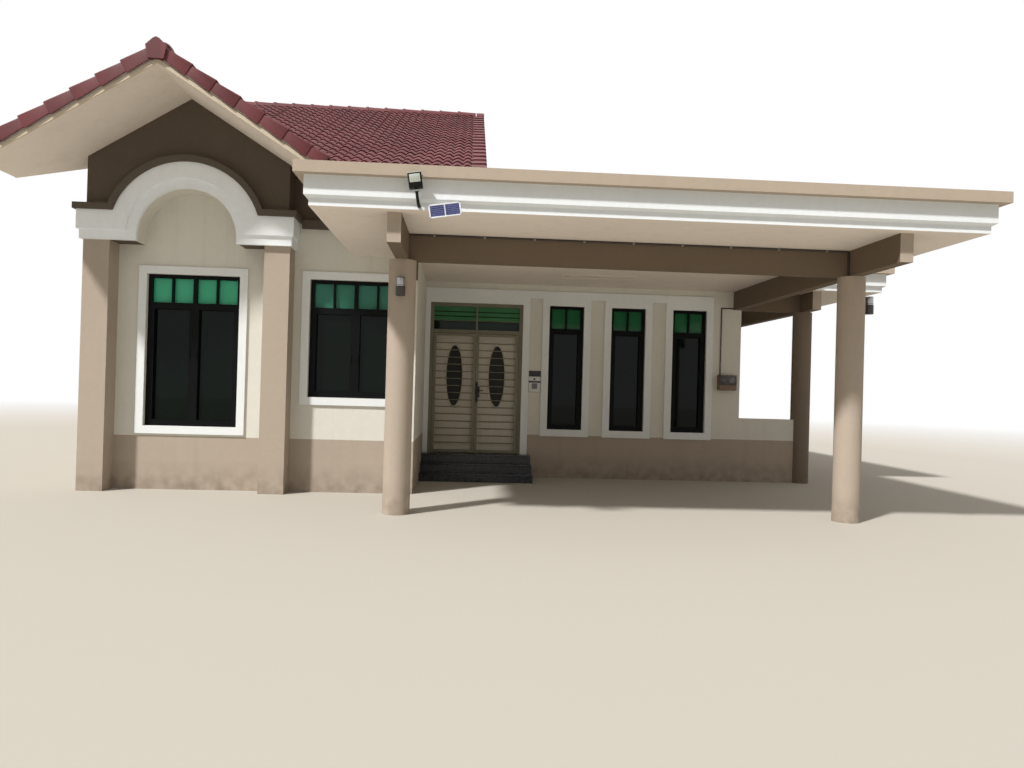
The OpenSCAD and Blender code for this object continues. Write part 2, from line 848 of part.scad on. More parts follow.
// A security grille: a frame of flat tube with level bars
module grille(ax, s) {
    near = ax + s*leaf_gap/2;
    x0 = min(near, leaf_far(s));
    x1 = max(near, leaf_far(s));
    z0 = floor_h + leaf_gap*2;
    z1 = transom_z - jamb_w - leaf_gap;
    bars = floor((z1 - z0 - 2*stile_w)/bar_pitch);
    step = (z1 - z0 - 2*stile_w)/(bars + 1);
    color(grille_olive) {
        along_y(frame_front, frame_front + grille_t) difference() {
            rect([x0, z0], [x1, z1]);
            rect([x0 + stile_w, z0 + stile_w], [x1 - stile_w, z1 - stile_w]);
        }
        for (i = [1 : bars])
            translate([x0 + stile_w - tiny, frame_front + grille_t/2, z0 + stile_w + i*step])
                rotate([0, 90, 0]) cylinder(d = bar_d, h = x1 - x0 - 2*stile_w + 2*tiny);
        for (z = hinge_z) leaf_knuckle(ax, grille_axis_y, z, s);
    }
}

module grille_left() {
    grille(leaf_l_x, 1);
}

module grille_right() {
    grille(leaf_r_x, -1);
}

// Three steps up to the door; the top one is level with the floor
module entrance_steps() {
    color([0.12, 0.12, 0.15]) for (i = [0 : 2])
        block([return_x, entry_y - (3 - i)*tread_d, 0],
              [steps_r, entry_y - (i < 2 ? (2 - i)*tread_d : 0), (i + 1)*floor_h/3]);
}

// The main roof's solid section up to its top, raised by lift
module main_section(lift) {
    polygon([
        [-eave_y, 0], [eave_y, 0], [eave_y, eave_z + lift],
        [0, main_under(0) + lift], [-eave_y, eave_z + lift]
    ]);
}

// All that lies under the main roof's top
module under_main(lift) {
    along_x(-far, far) main_section(lift);
}

module main_roof() {
    color(roof_tile) difference() {
        along_x(main_l, main_r) difference() {
            main_section(roof_v);
            main_section(0);
        }
        along_y(-far, 0) bay_section(0);
    }
}

module bay_roof() {
    color(roof_tile) difference() {
        along_y(bay_front, 0) difference() {
            bay_section(roof_v);
            bay_section(0);
        }
        under_main(roof_v);
    }
}

// The bay roof's solid section up to its top, raised by lift
module bay_section(lift) {
    polygon([
        [bay_x - bay_half, 0], [bay_x + bay_half, 0], [bay_x + bay_half, eave_z + lift],
        [bay_x, bay_under(bay_x) + lift], [bay_x - bay_half, eave_z + lift]
    ]);
}

// Half-round tiles on both ridges
module ridge_tiles() {
    bay_z = bay_under(bay_x) + roof_v - ridge_sink;
    color(roof_tile) {
        difference() {
            translate([main_l - verge_t, 0, main_under(0) + roof_v - ridge_sink]) rotate([0, 90, 0])
                cylinder(r = ridge_r, h = main_r - main_l + 2*verge_t);
            along_x(main_l, main_r) main_section(roof_v);
            end_cuts();
        }
        difference() {
            translate([bay_x, 0, bay_z]) rotate([90, 0, 0])
                cylinder(r = ridge_r, h = -bay_front + verge_t);
            along_y(bay_front, tiny) bay_section(roof_v);
            under_main(roof_v);
            block([bay_x - far, -far, 0],
                  [bay_x + far, 0, barge_top(bay_under(bay_x), bay_pitch) + barge_gap]);
        }
    }
}

// Trims the ends of the main ridge to their upper part
module end_cuts() {
    top = barge_top(main_under(0), pitch) + barge_gap;
    block([main_l - far, -far, 0], [main_l, far, top]);
    block([main_r, -far, 0], [main_r + far, far, top]);
}

// One verge tile: an angle that laps the slope's edge, thicker at its lower end
module verge_tile(len) {
    rise = verge_step/3;
    rotate([90, 0, 0]) linear_extrude(verge_t) polygon([
        [0, -verge_drop], [len, -verge_drop + verge_step - rise], [len, rise], [0, verge_step]
    ]);
    rotate([90, 0, 0]) translate([0, 0, -(verge_top - verge_t)])
        linear_extrude(verge_top) polygon([[0, 0], [len, 0], [len, rise], [0, verge_step]]);
}

// The verge tiles up one slope over a level run, from the eave; y is the verge
module verge_run(run, angle) {
    len = run/cos(angle);
    n = round(len/verge_pitch);
    p = len/n;
    rotate([0, -angle, 0]) for (i = [0 : n - 1]) translate([i*p, 0, 0]) verge_tile(p + tiny);
}

// Tiles at the bay's front verge
module bay_verge_tiles() {
    color(roof_tile) difference() {
        for (s = [0, 1])
            translate([bay_x, 0, 0]) mirror([s, 0, 0])
                translate([-bay_half, bay_front, eave_z + roof_v]) verge_run(bay_half, bay_pitch);
        translate([bay_x, 0, bay_under(bay_x) + roof_v - ridge_sink]) rotate([90, 0, 0])
            cylinder(r = ridge_r + tiny, h = far/2);
        along_y(bay_front, 0) bay_section(roof_v);
    }
}

// Tiles at the two ends of the main roof
module main_verge_tiles() {
    color(roof_tile) difference() {
        for (m = [0, 1], s = [0, 1])
            translate([m == 0 ? main_l : main_r, 0, 0]) mirror([m, 0, 0]) mirror([0, s, 0])
                rotate([0, 0, 90]) mirror([0, 1, 0])
                    translate([-eave_y, 0, eave_z + roof_v]) verge_run(eave_y, pitch);
        translate([-far/2, 0, main_under(0) + roof_v - ridge_sink]) rotate([0, 90, 0])
            cylinder(r = ridge_r + tiny, h = far);
        along_x(main_l, main_r) main_section(roof_v);
        along_y(-far, 0) bay_section(roof_v);
    }
}

// Top of a bargeboard where the underside of a roof at this angle is at z
function barge_top(z, angle) = z + roof_v - verge_drop/cos(angle) - barge_gap;

// Boards under the verge tiles of the bay
module bay_bargeboard() {
    h = barge_top(0, bay_pitch);
    color(trim_white) along_y(bay_front - barge_t, bay_front) polygon([
        [bay_x - bay_half, eave_z], [bay_x, bay_under(bay_x)], [bay_x + bay_half, eave_z],
        [bay_x + bay_half, eave_z + h], [bay_x, bay_under(bay_x) + h],
        [bay_x - bay_half, eave_z + h]
    ]);
}

// Boards under the verge tiles of the main roof
module main_bargeboards() {
    h = barge_top(0, pitch);
    color(trim_white) for (x = [main_l - barge_t, main_r]) along_x(x, x + barge_t) polygon([
        [-eave_y, eave_z], [0, main_under(0)], [eave_y, eave_z],
        [eave_y, eave_z + h], [0, main_under(0) + h], [-eave_y, eave_z + h]
    ]);
}

// Corners of the flat roof's underside, each edge moved out by d
function roof_edge(d) = [
    [roof_l - d, front_y], [roof_l - d, roof_f - d], [roof_r + d, roof_f - d],
    [roof_r + d, side_f - d], [side_r + d, side_f - d], [side_r + d, roof_b + d],
    [roof_l - d, roof_b + d], [roof_l - d, half_d]
];

// Runs a profile, drawn as distance out and height, round the roof's edges with mitres
module round_edge(profile) {
    reach = cap_d + 2*kerb_w;
    for (i = [0 : 6]) {
        a = roof_edge(0)[i];
        b = roof_edge(0)[i + 1];
        inner = roof_edge(-kerb_w);
        outer = roof_edge(reach);
        len = norm(b - a);
        intersection() {
            translate([a[0], a[1], 0]) rotate([0, 0, atan2(b[1] - a[1], b[0] - a[0])])
                translate([-reach, 0, 0]) rotate([90, 0, 90])
                    linear_extrude(len + 2*reach) polygon([for (p = profile) [-p[0], p[1]]]);
            linear_extrude(2*soffit_z)
                polygon([inner[i], inner[i + 1], outer[i + 1], outer[i]]);
        }
    }
}

module flat_roof() {
    inner = roof_edge(-kerb_w);
    color(wall_paint) translate([0, 0, soffit_z]) linear_extrude(slab_t) polygon(concat(inner, [
        [return_x, half_d], [return_x, half_d - wall_t], [return_x - wall_t, half_d - wall_t],
        [return_x - wall_t, front_y + wall_t], [return_x, front_y + wall_t], [return_x, front_y]
    ]));
}

module cornice() {
    low_z = soffit_z + corn_low_h;
    color(trim_white) round_edge([
        [-kerb_w, soffit_z], [0, soffit_z], [0, low_z], [corn_out, low_z + corn_rise_h],
        [corn_out, cap_z], [-kerb_w, cap_z]
    ]);
}

module capping_band() {
    outer = roof_edge(cap_d);
    inner = roof_edge(-kerb_w);
    color(beige) translate([0, 0, cap_z]) linear_extrude(cap_h)
        polygon(concat(outer, [for (i = [len(inner) - 1 : -1 : 0]) inner[i]]));
}

module front_beam() {
    color(taupe) block([col_l_x + beam_w/2, col_y - beam_w/2, beam_z],
                       [col_r_x - beam_w/2, col_y + beam_w/2, soffit_z]);
}

// Beams that run back from the cornice over the columns
module side_beams() {
    y0 = roof_f + beam_end_in;
    color(taupe) {
        block([col_l_x - beam_w/2, y0, beam_z], [col_l_x + beam_w/2, front_y, soffit_z]);
        block([col_r_x - beam_w/2, y0, beam_z], [col_r_x + beam_w/2, entry_y, soffit_z]);
        block([col_s_x - beam_w/2, side_f + beam_end_in, beam_z],
              [col_s_x + beam_w/2, rear_col_y + beam_w/2, soffit_z]);
    }
}

// Beams from the house to the side columns
module cross_beams() {
    color(taupe) for (y = side_col_ys)
        block([half_w, y - beam_w/2, beam_z], [col_s_x - beam_w/2, y + beam_w/2, soffit_z]);
}

module column(x, y) {
    color(taupe) translate([x, y, 0]) cylinder(r = col_r, h = beam_z);
}

module column_left() {
    column(col_l_x, col_y);
}

module column_right() {
    column(col_r_x, col_y);
}

module side_columns() {
    for (y = side_col_ys) column(col_s_x, y);
}

// The low wall between the house and the side column
module low_wall() {
    color(wall_paint) difference() {
        block([half_w, side_col_y - wall_t/2, 0], [col_s_x, side_col_y + wall_t/2, low_wall_h]);
        translate([col_s_x, side_col_y, -tiny]) cylinder(r = col_r + curve_gap, h = low_wall_h + 2*tiny);
    }
}

// A lamp with a round body on a back plate; it faces front
module wall_lamp() {
    z = lamp_plate_h/2;
    y = -lamp_plate_t - lamp_tube_r - (lamp_r - lamp_tube_r)/3;
    block([-lamp_plate_w/2, -lamp_plate_t, -z], [lamp_plate_w/2, 0, z]);
    translate([0, y, -z - lamp_plate_t]) cylinder(r = lamp_r, h = lamp_body_h);
    translate([0, y, -z - lamp_plate_t + lamp_body_h]) cylinder(r = lamp_tube_r, h = lamp_tube_h);
}

// The lamp in front of the column at x, y, turned by angle round it
module column_lamp(x, y, angle) {
    translate([x, y, lamp_z]) rotate([0, 0, angle]) difference() {
        translate([0, -col_r + lamp_plate_t/5, 0]) wall_lamp();
        translate([0, 0, -lamp_tube_h*2]) cylinder(r = col_r + curve_gap, h = lamp_tube_h*4);
    }
}

module wall_lamps() {
    color([0.5, 0.5, 0.5]) {
        column_lamp(col_l_x, col_y, 0);
        column_lamp(col_r_x, col_y, 90);
    }
}

// A flood light that leans on its post, with a bracket to the cornice's lower face
module flood_light() {
    back = roof_f - cap_d - flood_gap;
    post = back - (flood_d - flood_arm_w)/2;
    side = flood_arm_w/2;
    color([0.1, 0.1, 0.1]) translate([flood_x, 0, soffit_z + flood_foot])
        rotate([0, -flood_lean, 0]) {
            block([-side, post, 0], [side, roof_f, flood_arm_h]);
            block([-side, post - flood_arm_w, 0], [side, post, flood_post_h]);
            block([-flood_w/2, back - flood_d, flood_post_h],
                  [flood_w/2, back, flood_post_h + flood_h]);
        }
}

// A small solar panel on an arm from the cornice's lower face, leaning like the flood light
module solar_panel() {
    x0 = flood_x + flood_arm_w/2 + solar_gap + solar_w/2;
    back = roof_f - solar_out;
    arm_top = solar_h/2 - solar_arm_in;
    side = solar_arm_w/2;
    color([0.1, 0.15, 0.4]) translate([x0, 0, soffit_z - solar_drop])
        rotate([0, -flood_lean, 0]) {
            block([-solar_w/2, back - solar_t, -solar_h/2], [solar_w/2, back, solar_h/2]);
            block([-side, back, arm_top - solar_arm_h], [side, roof_f, arm_top]);
        }
}

module tube_lamp() {
    y0 = entry_y - tube_out;
    drop = tube_case_h + tube_r + curve_gap;
    color([0.95, 0.95, 0.95]) {
        block([tube_x, y0 - tube_case_w/2, soffit_z - tube_case_h],
              [tube_x + tube_l, y0 + tube_case_w/2, soffit_z]);
        translate([tube_x + tube_r, y0, soffit_z - drop])
            rotate([0, 90, 0]) cylinder(r = tube_r, h = tube_l - 2*tube_r);
    }
}

// The meter box in the middle of the wall's last bare part
module meter_box() {
    mid = (surround_r + half_w)/2;
    color([0.5, 0.45, 0.4]) block([mid - meter_w/2, entry_y - meter_d, meter_z],
                                  [mid + meter_w/2, entry_y, meter_z + meter_h]);
}

// The number plate on the strip beside the door
module number_plate() {
    color([0.2, 0.2, 0.22]) block([door_r + slot_side + plate_in, entry_y - plate_t, plate_z],
        [slot_x - slot_w/2 - slot_side - plate_in, entry_y, plate_z + plate_h]);
}

floor_slab();
front_wall();
left_wall();
rear_wall();
right_wall();
return_wall();
entrance_wall();
entrance_lintel();
entrance_nib();
upper_gable_wall();
gable_arch_wall();
pillar_left();
pillar_right();
arch_band();
arch_coping();
wall_coping();
front_surrounds();
entrance_surround();
rear_surrounds();
front_window_frames();
front_window_glass();
slot_window_frames();
slot_window_glass();
rear_window_frames();
rear_window_glass();
door_frame();
transom_glass();
door_leaf_left();
door_glass_left();
door_leaf_right();
door_glass_right();
grille_left();
grille_right();
entrance_steps();
main_roof();
bay_roof();
ridge_tiles();
bay_verge_tiles();
main_verge_tiles();
bay_bargeboard();
main_bargeboards();
flat_roof();
cornice();
capping_band();
front_beam();
side_beams();
cross_beams();
column_left();
column_right();
side_columns();
low_wall();
wall_lamps();
flood_light();
solar_panel();
tube_lamp();
meter_box();
number_plate();
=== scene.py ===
"""The looks of a single-storey bungalow with an arched gable bay and a flat-roofed car porch.

X runs along the front, Y from front to back and Z up from the ground, in metres. Every piece is
made in place, so an object's own coordinates are the model's.
"""
import json
import math
import random
from types import SimpleNamespace

import bmesh
import bpy
from mathutils import Matrix, Vector


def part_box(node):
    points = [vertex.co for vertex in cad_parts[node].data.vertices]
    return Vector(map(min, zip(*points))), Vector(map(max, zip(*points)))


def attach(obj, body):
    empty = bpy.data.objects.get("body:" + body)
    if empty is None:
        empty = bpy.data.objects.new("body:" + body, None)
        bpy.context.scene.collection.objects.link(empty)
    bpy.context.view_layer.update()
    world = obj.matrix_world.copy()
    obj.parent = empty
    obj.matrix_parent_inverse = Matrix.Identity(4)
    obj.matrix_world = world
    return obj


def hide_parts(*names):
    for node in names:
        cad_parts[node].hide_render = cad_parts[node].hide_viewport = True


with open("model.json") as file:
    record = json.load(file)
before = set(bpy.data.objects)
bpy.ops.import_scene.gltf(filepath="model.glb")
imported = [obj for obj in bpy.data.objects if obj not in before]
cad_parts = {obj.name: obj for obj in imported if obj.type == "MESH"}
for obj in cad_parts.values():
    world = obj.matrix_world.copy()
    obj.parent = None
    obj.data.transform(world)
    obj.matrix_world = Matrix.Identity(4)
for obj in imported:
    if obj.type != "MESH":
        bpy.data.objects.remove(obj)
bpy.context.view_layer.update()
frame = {"nodes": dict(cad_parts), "record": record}
SCENE = bpy.context.scene

# The photograph's view: where the eye stands, and how it is turned
EYE = Vector((0.175, -16.417, 1.55))
YAW = math.radians(3.432)
TILT = math.radians(0.337)
ROLL = math.radians(1.604)
LENS_MM = 26.72
SENSOR_MM = 36.0

# How steep the roofs are
MAIN_PITCH = math.radians(26.5)
BAY_PITCH = math.radians(32)

# Roof tiles: the width that one covers, with two rolls, and its exposed length; the tail is what
# the next course covers
TILE_W = 0.296
TILE_GAUGE = 0.29
TILE_TAIL = 0.02
ROLL_H = 0.036
SECOND_ROLL = 0.86
PAN_SHARE = 0.2
ROLL_STEPS = 8
TILE_LOW = 0.034
TILE_HIGH = 0.010
TILE_LIP = 0.024
EAVE_LAP = 0.045
# The tiles start this far from a verge, stop short of the ridge, and are cut beside a valley
FIELD_MARGIN = 0.145
RIDGE_GAP = 0.03
VALLEY_CUT = 0.07
# The valleys' trays: reach under the tiles, height over the slope and thickness
TRAY_LAP = 0.05
TRAY_UP = 0.004
TRAY_THICK = 0.003

# Verge tiles: length along the slope, lap, outer projection, drop, and the cover on the slope
VERGE_PITCH = 0.33
VERGE_LAP = 0.045
VERGE_OUT = 0.055
VERGE_DROP = 0.132
VERGE_COVER = 0.17
VERGE_SHELL = 0.016
VERGE_LOW = 0.044
VERGE_HIGH = 0.016
VERGE_ROUND = 0.016
VERGE_FILLET = 0.012
VERGE_THIN = 0.004
# The lowest verge tile's share of a whole one, and where the row starts and stops
VERGE_FIRST = 0.6
VERGE_EAVE = 0.03
VERGE_STOP = 0.06

# Ridge tiles, each with a collar at its lapped end
CAP_R = 0.128
CAP_LENGTH = 0.40
CAP_LAP = 0.05
CAP_SHELL = 0.018
CAP_RISE = 0.018
CAP_COLLAR = 0.012
CAP_COLLAR_LENGTH = 0.05
# The rows of them start this far inside the roofs
CAP_FROM_END = 0.12
CAP_FROM_FRONT = 0.11

# The five-sided cap at a ridge's end: foot and widest half widths, its reach over and under the ridge
APEX_FOOT = 0.096
APEX_HALF = 0.127
APEX_TOP = 0.080
APEX_DROP = 0.182
APEX_SHOULDER = 0.102
# How far that cap stands out from the verge and reaches under the ridge
BAY_APEX_DEPTH = (-0.02, 0.0, 0.16)
MAIN_APEX_DEPTH = (-0.004, 0.016, 0.16)

# The windows: half the width of the wide ones, the narrow ones' width, the top lights' height,
# the second window's sill and the arch's centre and radius
WINDOW_HALF = 0.640
SLOT_W = 0.612
TOP_LIGHT = 0.42
SECOND_SILL = 1.348
ARCH_Z = 3.49
ARCH_R = 0.668
# Security bars behind the wide windows, as shares of the way from the top lights to the sill,
# their radius and their distance behind the glass
BAR_SHARES = (0.22, 0.42, 0.62, 0.84)
BAR_R = 0.006
BAR_BEHIND = 0.03
# Casement handles: half width, stand-off, lower and upper end, and place beside a middle or an edge
HANDLE_HALF = 0.006
HANDLE_OUT = 0.012
WIDE_HANDLE_Z = (1.85, 1.97)
SLOT_HANDLE_Z = (1.55, 1.67)
WIDE_HANDLE_X = 0.045
SLOT_HANDLE_X = 0.07

# Over the door: where the panes turn green, and each bar's height with its paint, dark or pale; the dark
# paint is painted shade on bars
TRANSOM_LIGHT = 2.72
TRANSOM_BARS = ((2.87, 0), (2.79, 0), (2.715, 1))
TRANSOM_BAR_R = 0.007
# The door leaves' thickness, and the beads round the oval pane: distance from it and height
LEAF_THICK = 0.04
BEADS = ((0.012, 0.012), (0.034, 0.007))
BEAD_HALF = 0.010
# The leaves' raised panels: distance from the leaf's edge, and the inner step's from the outer
PANEL_EDGE = 0.085
PANEL_INSET = 0.028
# Heights of the gate's lock and the leaves' levers
GATE_LOCK_Z = 1.47
LEVER_Z = 1.46
LEVER_R = 0.008

# The flood light and the solar panel lean about their feet
LAMP_LEAN = math.radians(9)
FLOOD_FROM_COLUMN = 0.270
FLOOD_FOOT_UP = 0.020
FLOOD_POST = 0.155
FLOOD_W = 0.140
FLOOD_H = 0.160
FLOOD_D = 0.060
SOLAR_W = 0.330
SOLAR_H = 0.140
SOLAR_FROM_FLOOD = 0.272
SOLAR_DROP = 0.029

# The column lamps: dark body below, bright tube above, and their place before the column's axis
LAMP_BODY_R = 0.055
LAMP_BODY_H = 0.112
LAMP_TUBE_R = 0.050
LAMP_TUBE_H = 0.105
LAMP_FROM_AXIS = 0.2327
# The tube lamp's holders: length and half depth
HOLDER = 0.018
# The wiring pipe's radius
PIPE_R = 0.010

# The number plate: its dark strip on top and the card under it
PLATE_STRIP = 0.098
PLATE_CARD = 0.079

# Heights at which the wall paint changes
PLINTH_TOP = 0.75
UPPER_PAINT = 3.81
# Right of this place the front wall's upper paint is dark, a darker taupe with painted shade in it
UPPER_FROM_X = -2.34

# The surround's strength at the horizon and overhead, and the sun
SKY_LOW = 0.16
SKY_HIGH = 0.80
SKY_TINT = (1.0, 0.965, 0.925, 1)
SUN_STRENGTH = 4.2
SUN_TINT = (1.0, 0.98, 0.965)
SUN_ANGLE = math.radians(4)
SUN_FROM = Vector((-1.07, -1.0, 1.6))
# The floor's half width, and the distances between which it fades to white
FLOOR_HALF = 60
FLOOR_FADE = (14.0, 40.0)

# Edges up to this angle are smoothed
SMOOTH_ANGLE = math.radians(38)
# The way out of the front
TO_FRONT = (0, -1, 0)

# Every finish by its name
MATERIALS = {}


# Colours and materials

def rgb(r, g, b):
    """A colour in the usual 0 to 255 steps, as the linear values that a shader takes."""
    def one(c):
        return c/12.92 if c <= 0.04045 else ((c + 0.055)/1.055)**2.4
    return tuple(one(c/255) for c in (r, g, b)) + (1.0,)


class Nodes:
    """A tree of shader nodes."""

    def __init__(self, tree):
        self.tree = tree

    def new(self, kind, *values, **settings):
        """A node with its settings, and the values for its first sockets."""
        node = self.tree.nodes.new("ShaderNode" + kind)
        for key, value in settings.items():
            setattr(node, key, value)
        for value, socket in zip(values, node.inputs):
            self.put(value, socket)
        return node

    def put(self, value, socket):
        """A constant, or another node's output, into a socket."""
        if isinstance(value, bpy.types.NodeSocket):
            self.tree.links.new(value, socket)
        else:
            socket.default_value = value

    def axis(self, index, source=None):
        """One coordinate of the place, or of another vector."""
        return self.new("SeparateXYZ", source or self.place).outputs[index]

    def math(self, operation, a, b):
        return self.new("Math", a, b, operation=operation).outputs[0]

    def span(self, value, low, high, to_low=0.0, to_high=1.0):
        """The value carried from one range to another, and held at its ends."""
        return self.new("MapRange", value, low, high, to_low, to_high).outputs[0]


class Finish(Nodes):
    """A material made of nodes, with patterns in the model's own metres."""

    def __init__(self, name, roughness, specular, metallic=0.0):
        self.material = bpy.data.materials.new(name)
        self.material.use_nodes = True
        super().__init__(self.material.node_tree)
        self.shader = self.tree.nodes["Principled BSDF"]
        self.shader.inputs["Roughness"].default_value = roughness
        self.shader.inputs["Specular IOR Level"].default_value = specular
        self.shader.inputs["Metallic"].default_value = metallic
        coords = self.new("TexCoord")
        self.place = coords.outputs["Object"]
        self.normal = coords.outputs["Normal"]
        self.normal_in = None

    def vector(self, operation, value=(0, 0, 0)):
        """What an operation makes of the place."""
        return self.new("VectorMath", self.place, value, operation=operation).outputs

    def noise(self, scale, detail, stretch=(1, 1, 1)):
        node = self.new("TexNoise")
        node.inputs["Scale"].default_value = scale
        node.inputs["Detail"].default_value = detail
        self.put(self.vector("MULTIPLY", stretch)[0], node.inputs["Vector"])
        return node.outputs[0]

    def cells(self, steps):
        """A value from 0 to 1 that stays the same inside each cell of the given size."""
        return self.new("TexWhiteNoise", self.vector("SNAP", steps)[0]).outputs[0]

    def mix(self, share, a, b, mode="MIX"):
        """Two colours mixed; the node takes them in its sockets 6 and 7."""
        node = self.new("Mix", share, data_type="RGBA", blend_type=mode)
        self.put(a, node.inputs[6])
        self.put(b, node.inputs[7])
        return node.outputs[2]

    def shade(self, colour, scale, detail, low, high, stretch=(1, 1, 1)):
        """The colour times a grey that a noise carries from low to high."""
        level = self.span(self.noise(scale, detail, stretch), 0.0, 1.0, low, high)
        grey = self.new("CombineColor", level, level, level)
        return self.mix(1.0, colour, grey.outputs[0], "MULTIPLY")

    def colour(self, value):
        self.put(value, self.shader.inputs["Base Color"])

    def roughness(self, scale, detail, low, high):
        self.put(self.span(self.noise(scale, detail), 0.0, 1.0, low, high), self.shader.inputs["Roughness"])

    def bump(self, scale, detail, distance, stretch=(1, 1, 1)):
        """A noise of so many metres' height, over the bumps before it."""
        node = self.new("Bump")
        node.inputs["Distance"].default_value = distance
        self.put(self.noise(scale, detail, stretch), node.inputs["Height"])
        if self.normal_in:
            self.put(self.normal_in, node.inputs["Normal"])
        self.normal_in = node.outputs[0]
        self.put(self.normal_in, self.shader.inputs["Normal"])


CREAM = rgb(219, 217, 207)
TAUPE = rgb(175, 162, 147)
# A darker taupe, made darker still as painted shade for the shade under the eaves
DARK_TAUPE_AND_SHADE = rgb(92, 82, 71)
WHITE = rgb(232, 236, 236)
# The cornice's upward faces: white dimmed as painted shade against the sun on them
LEDGE_PAINTED_SHADE = rgb(186, 187, 185)
SOFFIT = rgb(234, 224, 213)
BEIGE = rgb(178, 164, 147)
DIRT = rgb(112, 100, 84)
TILE = rgb(104, 50, 53)
TILE_DARK = rgb(64, 33, 37)
TILE_PALE = rgb(138, 88, 88)
# The beams' taupe darkened as painted shade for the porch roof's shade over them
BEAM_PAINTED_SHADE = rgb(112, 98, 82)
DARK_GLASS = rgb(6, 20, 14)
GREEN_GLASS = rgb(72, 152, 128)


def plaster(name, colour, plinth=None, upper=None, roof_side=None, under=None, under_z=None, front=None,
            arch_x=None, stain=0.10):
    """Matt masonry paint on plaster, with rain streaks and splashes near the ground."""
    f = Finish(name, 0.85, 0.25)
    height = f.axis(2)
    base = colour
    if plinth:
        base = f.mix(f.math("LESS_THAN", height, PLINTH_TOP), base, plinth)
    if upper:
        high = f.math("GREATER_THAN", height, UPPER_PAINT)
        beside = f.math("GREATER_THAN", f.axis(0), UPPER_FROM_X)
        base = f.mix(f.math("MULTIPLY", high, beside), base, upper)
    # Upward faces take this colour: the roofs' own top colour, and on the cornice painted shade
    if roof_side:
        base = f.mix(f.math("GREATER_THAN", f.axis(2, f.normal), 0.2), base, roof_side)
    if under:
        facing = f.math("LESS_THAN", f.axis(2, f.normal), -0.5)
        base = f.mix(f.math("MULTIPLY", facing, f.math("LESS_THAN", height, under_z)), base, under)
    # Faces looking to the front take this colour: on the side beams their own taupe, where the rest carries
    # painted shade
    if front:
        base = f.mix(f.math("LESS_THAN", f.axis(1, f.normal), -0.5), base, front)
    if arch_x is not None:
        across = f.math("POWER", f.math("SUBTRACT", f.axis(0), arch_x), 2.0)
        rise = f.math("POWER", f.math("SUBTRACT", height, ARCH_Z), 2.0)
        inside = f.math("LESS_THAN", f.math("ADD", across, rise), (ARCH_R + 0.03)**2)
        base = f.mix(inside, base, CREAM)
    base = f.shade(base, 0.9, 4, 0.94, 1.05)
    base = f.shade(base, 14.0, 4, 0.96, 1.04)
    streaks = f.span(f.noise(5.0, 3, (1, 1, 0.06)), 0.52, 0.8, 0.0, stain)
    base = f.mix(streaks, base, DIRT)
    low = f.span(height, 0.02, 0.42, 1.0, 0.0)
    splash = f.math("MULTIPLY", low, f.span(f.noise(7.0, 4), 0.35, 0.7, 0.05, 0.6))
    base = f.mix(splash, base, DIRT)
    f.colour(base)
    f.roughness(30.0, 2, 0.74, 0.92)
    f.bump(38.0, 3, 0.0016)
    f.bump(260.0, 2, 0.0005)
    return f


def tile_glaze(name, steps):
    """Satin concrete tile: each tile has its own tone, with grit and pale weathering."""
    f = Finish(name, 0.5, 0.3)
    base = f.mix(f.cells(steps), TILE_DARK, TILE)
    base = f.mix(0.62, base, TILE)
    base = f.mix(f.span(f.noise(1.3, 4), 0.45, 0.8, 0.0, 0.35), base, TILE_PALE)
    base = f.shade(base, 55.0, 4, 0.86, 1.12)
    f.colour(base)
    f.roughness(9.0, 3, 0.36, 0.62)
    f.bump(190.0, 3, 0.0009)
    return f


def metal_paint(name, colour, roughness, wear=None, shine=0.45):
    """Paint on metal, with a faint orange peel and dust in the hollows."""
    f = Finish(name, roughness, shine)
    base = f.shade(colour, 6.0, 4, 0.88, 1.12)
    if wear:
        base = f.mix(f.span(f.noise(24.0, 5), 0.60, 0.74, 0.0, 0.55), base, wear)
    f.colour(base)
    f.roughness(18.0, 3, roughness - 0.08, roughness + 0.12)
    f.bump(320.0, 2, 0.0003)
    return f


def tinted_glass(name, low, high, light_z, bay_painted_reflection=None):
    """Dark tinted glass; over light_z more green comes through, and in the bay a brighter green stands as
    painted reflection.
    """
    f = Finish(name, 0.04, 0.02)
    if bay_painted_reflection:
        high = f.mix(f.math("LESS_THAN", f.axis(0), UPPER_FROM_X), high, bay_painted_reflection)
    base = f.mix(f.math("GREATER_THAN", f.axis(2), light_z), low, high)
    f.colour(f.shade(base, 0.8, 2, 0.8, 1.2))
    f.shader.inputs["Transmission Weight"].default_value = 0.3
    f.shader.inputs["IOR"].default_value = 1.45
    f.roughness(3.0, 3, 0.02, 0.07)
    f.bump(1.6, 1, 0.0008)
    return f


def wood_paint(name, colour):
    """Satin paint on a timber door, with the grain just showing."""
    f = Finish(name, 0.5, 0.4)
    base = f.shade(colour, 3.0, 4, 0.90, 1.08, (14, 14, 1))
    base = f.shade(base, 1.2, 3, 0.93, 1.06)
    f.colour(base)
    f.roughness(12.0, 3, 0.42, 0.6)
    f.bump(6.0, 4, 0.0006, (16, 16, 1))
    return f


def cement(name, colour, gloss=0.85):
    """Cement or stone, with blotches."""
    f = Finish(name, gloss, 0.4)
    base = f.shade(colour, 1.1, 5, 0.82, 1.12)
    base = f.shade(base, 40.0, 4, 0.9, 1.1)
    f.colour(base)
    f.roughness(9.0, 3, gloss - 0.12, min(1.0, gloss + 0.1))
    f.bump(120.0, 3, 0.0006)
    return f


def smooth(name, colour, roughness, metallic=0.0):
    """A smooth manufactured surface with slight smudges."""
    f = Finish(name, roughness, 0.5, metallic)
    f.colour(f.shade(colour, 7.0, 3, 0.92, 1.06))
    f.roughness(14.0, 3, max(0.02, roughness - 0.05), roughness + 0.1)
    f.bump(150.0, 2, 0.0001)
    return f


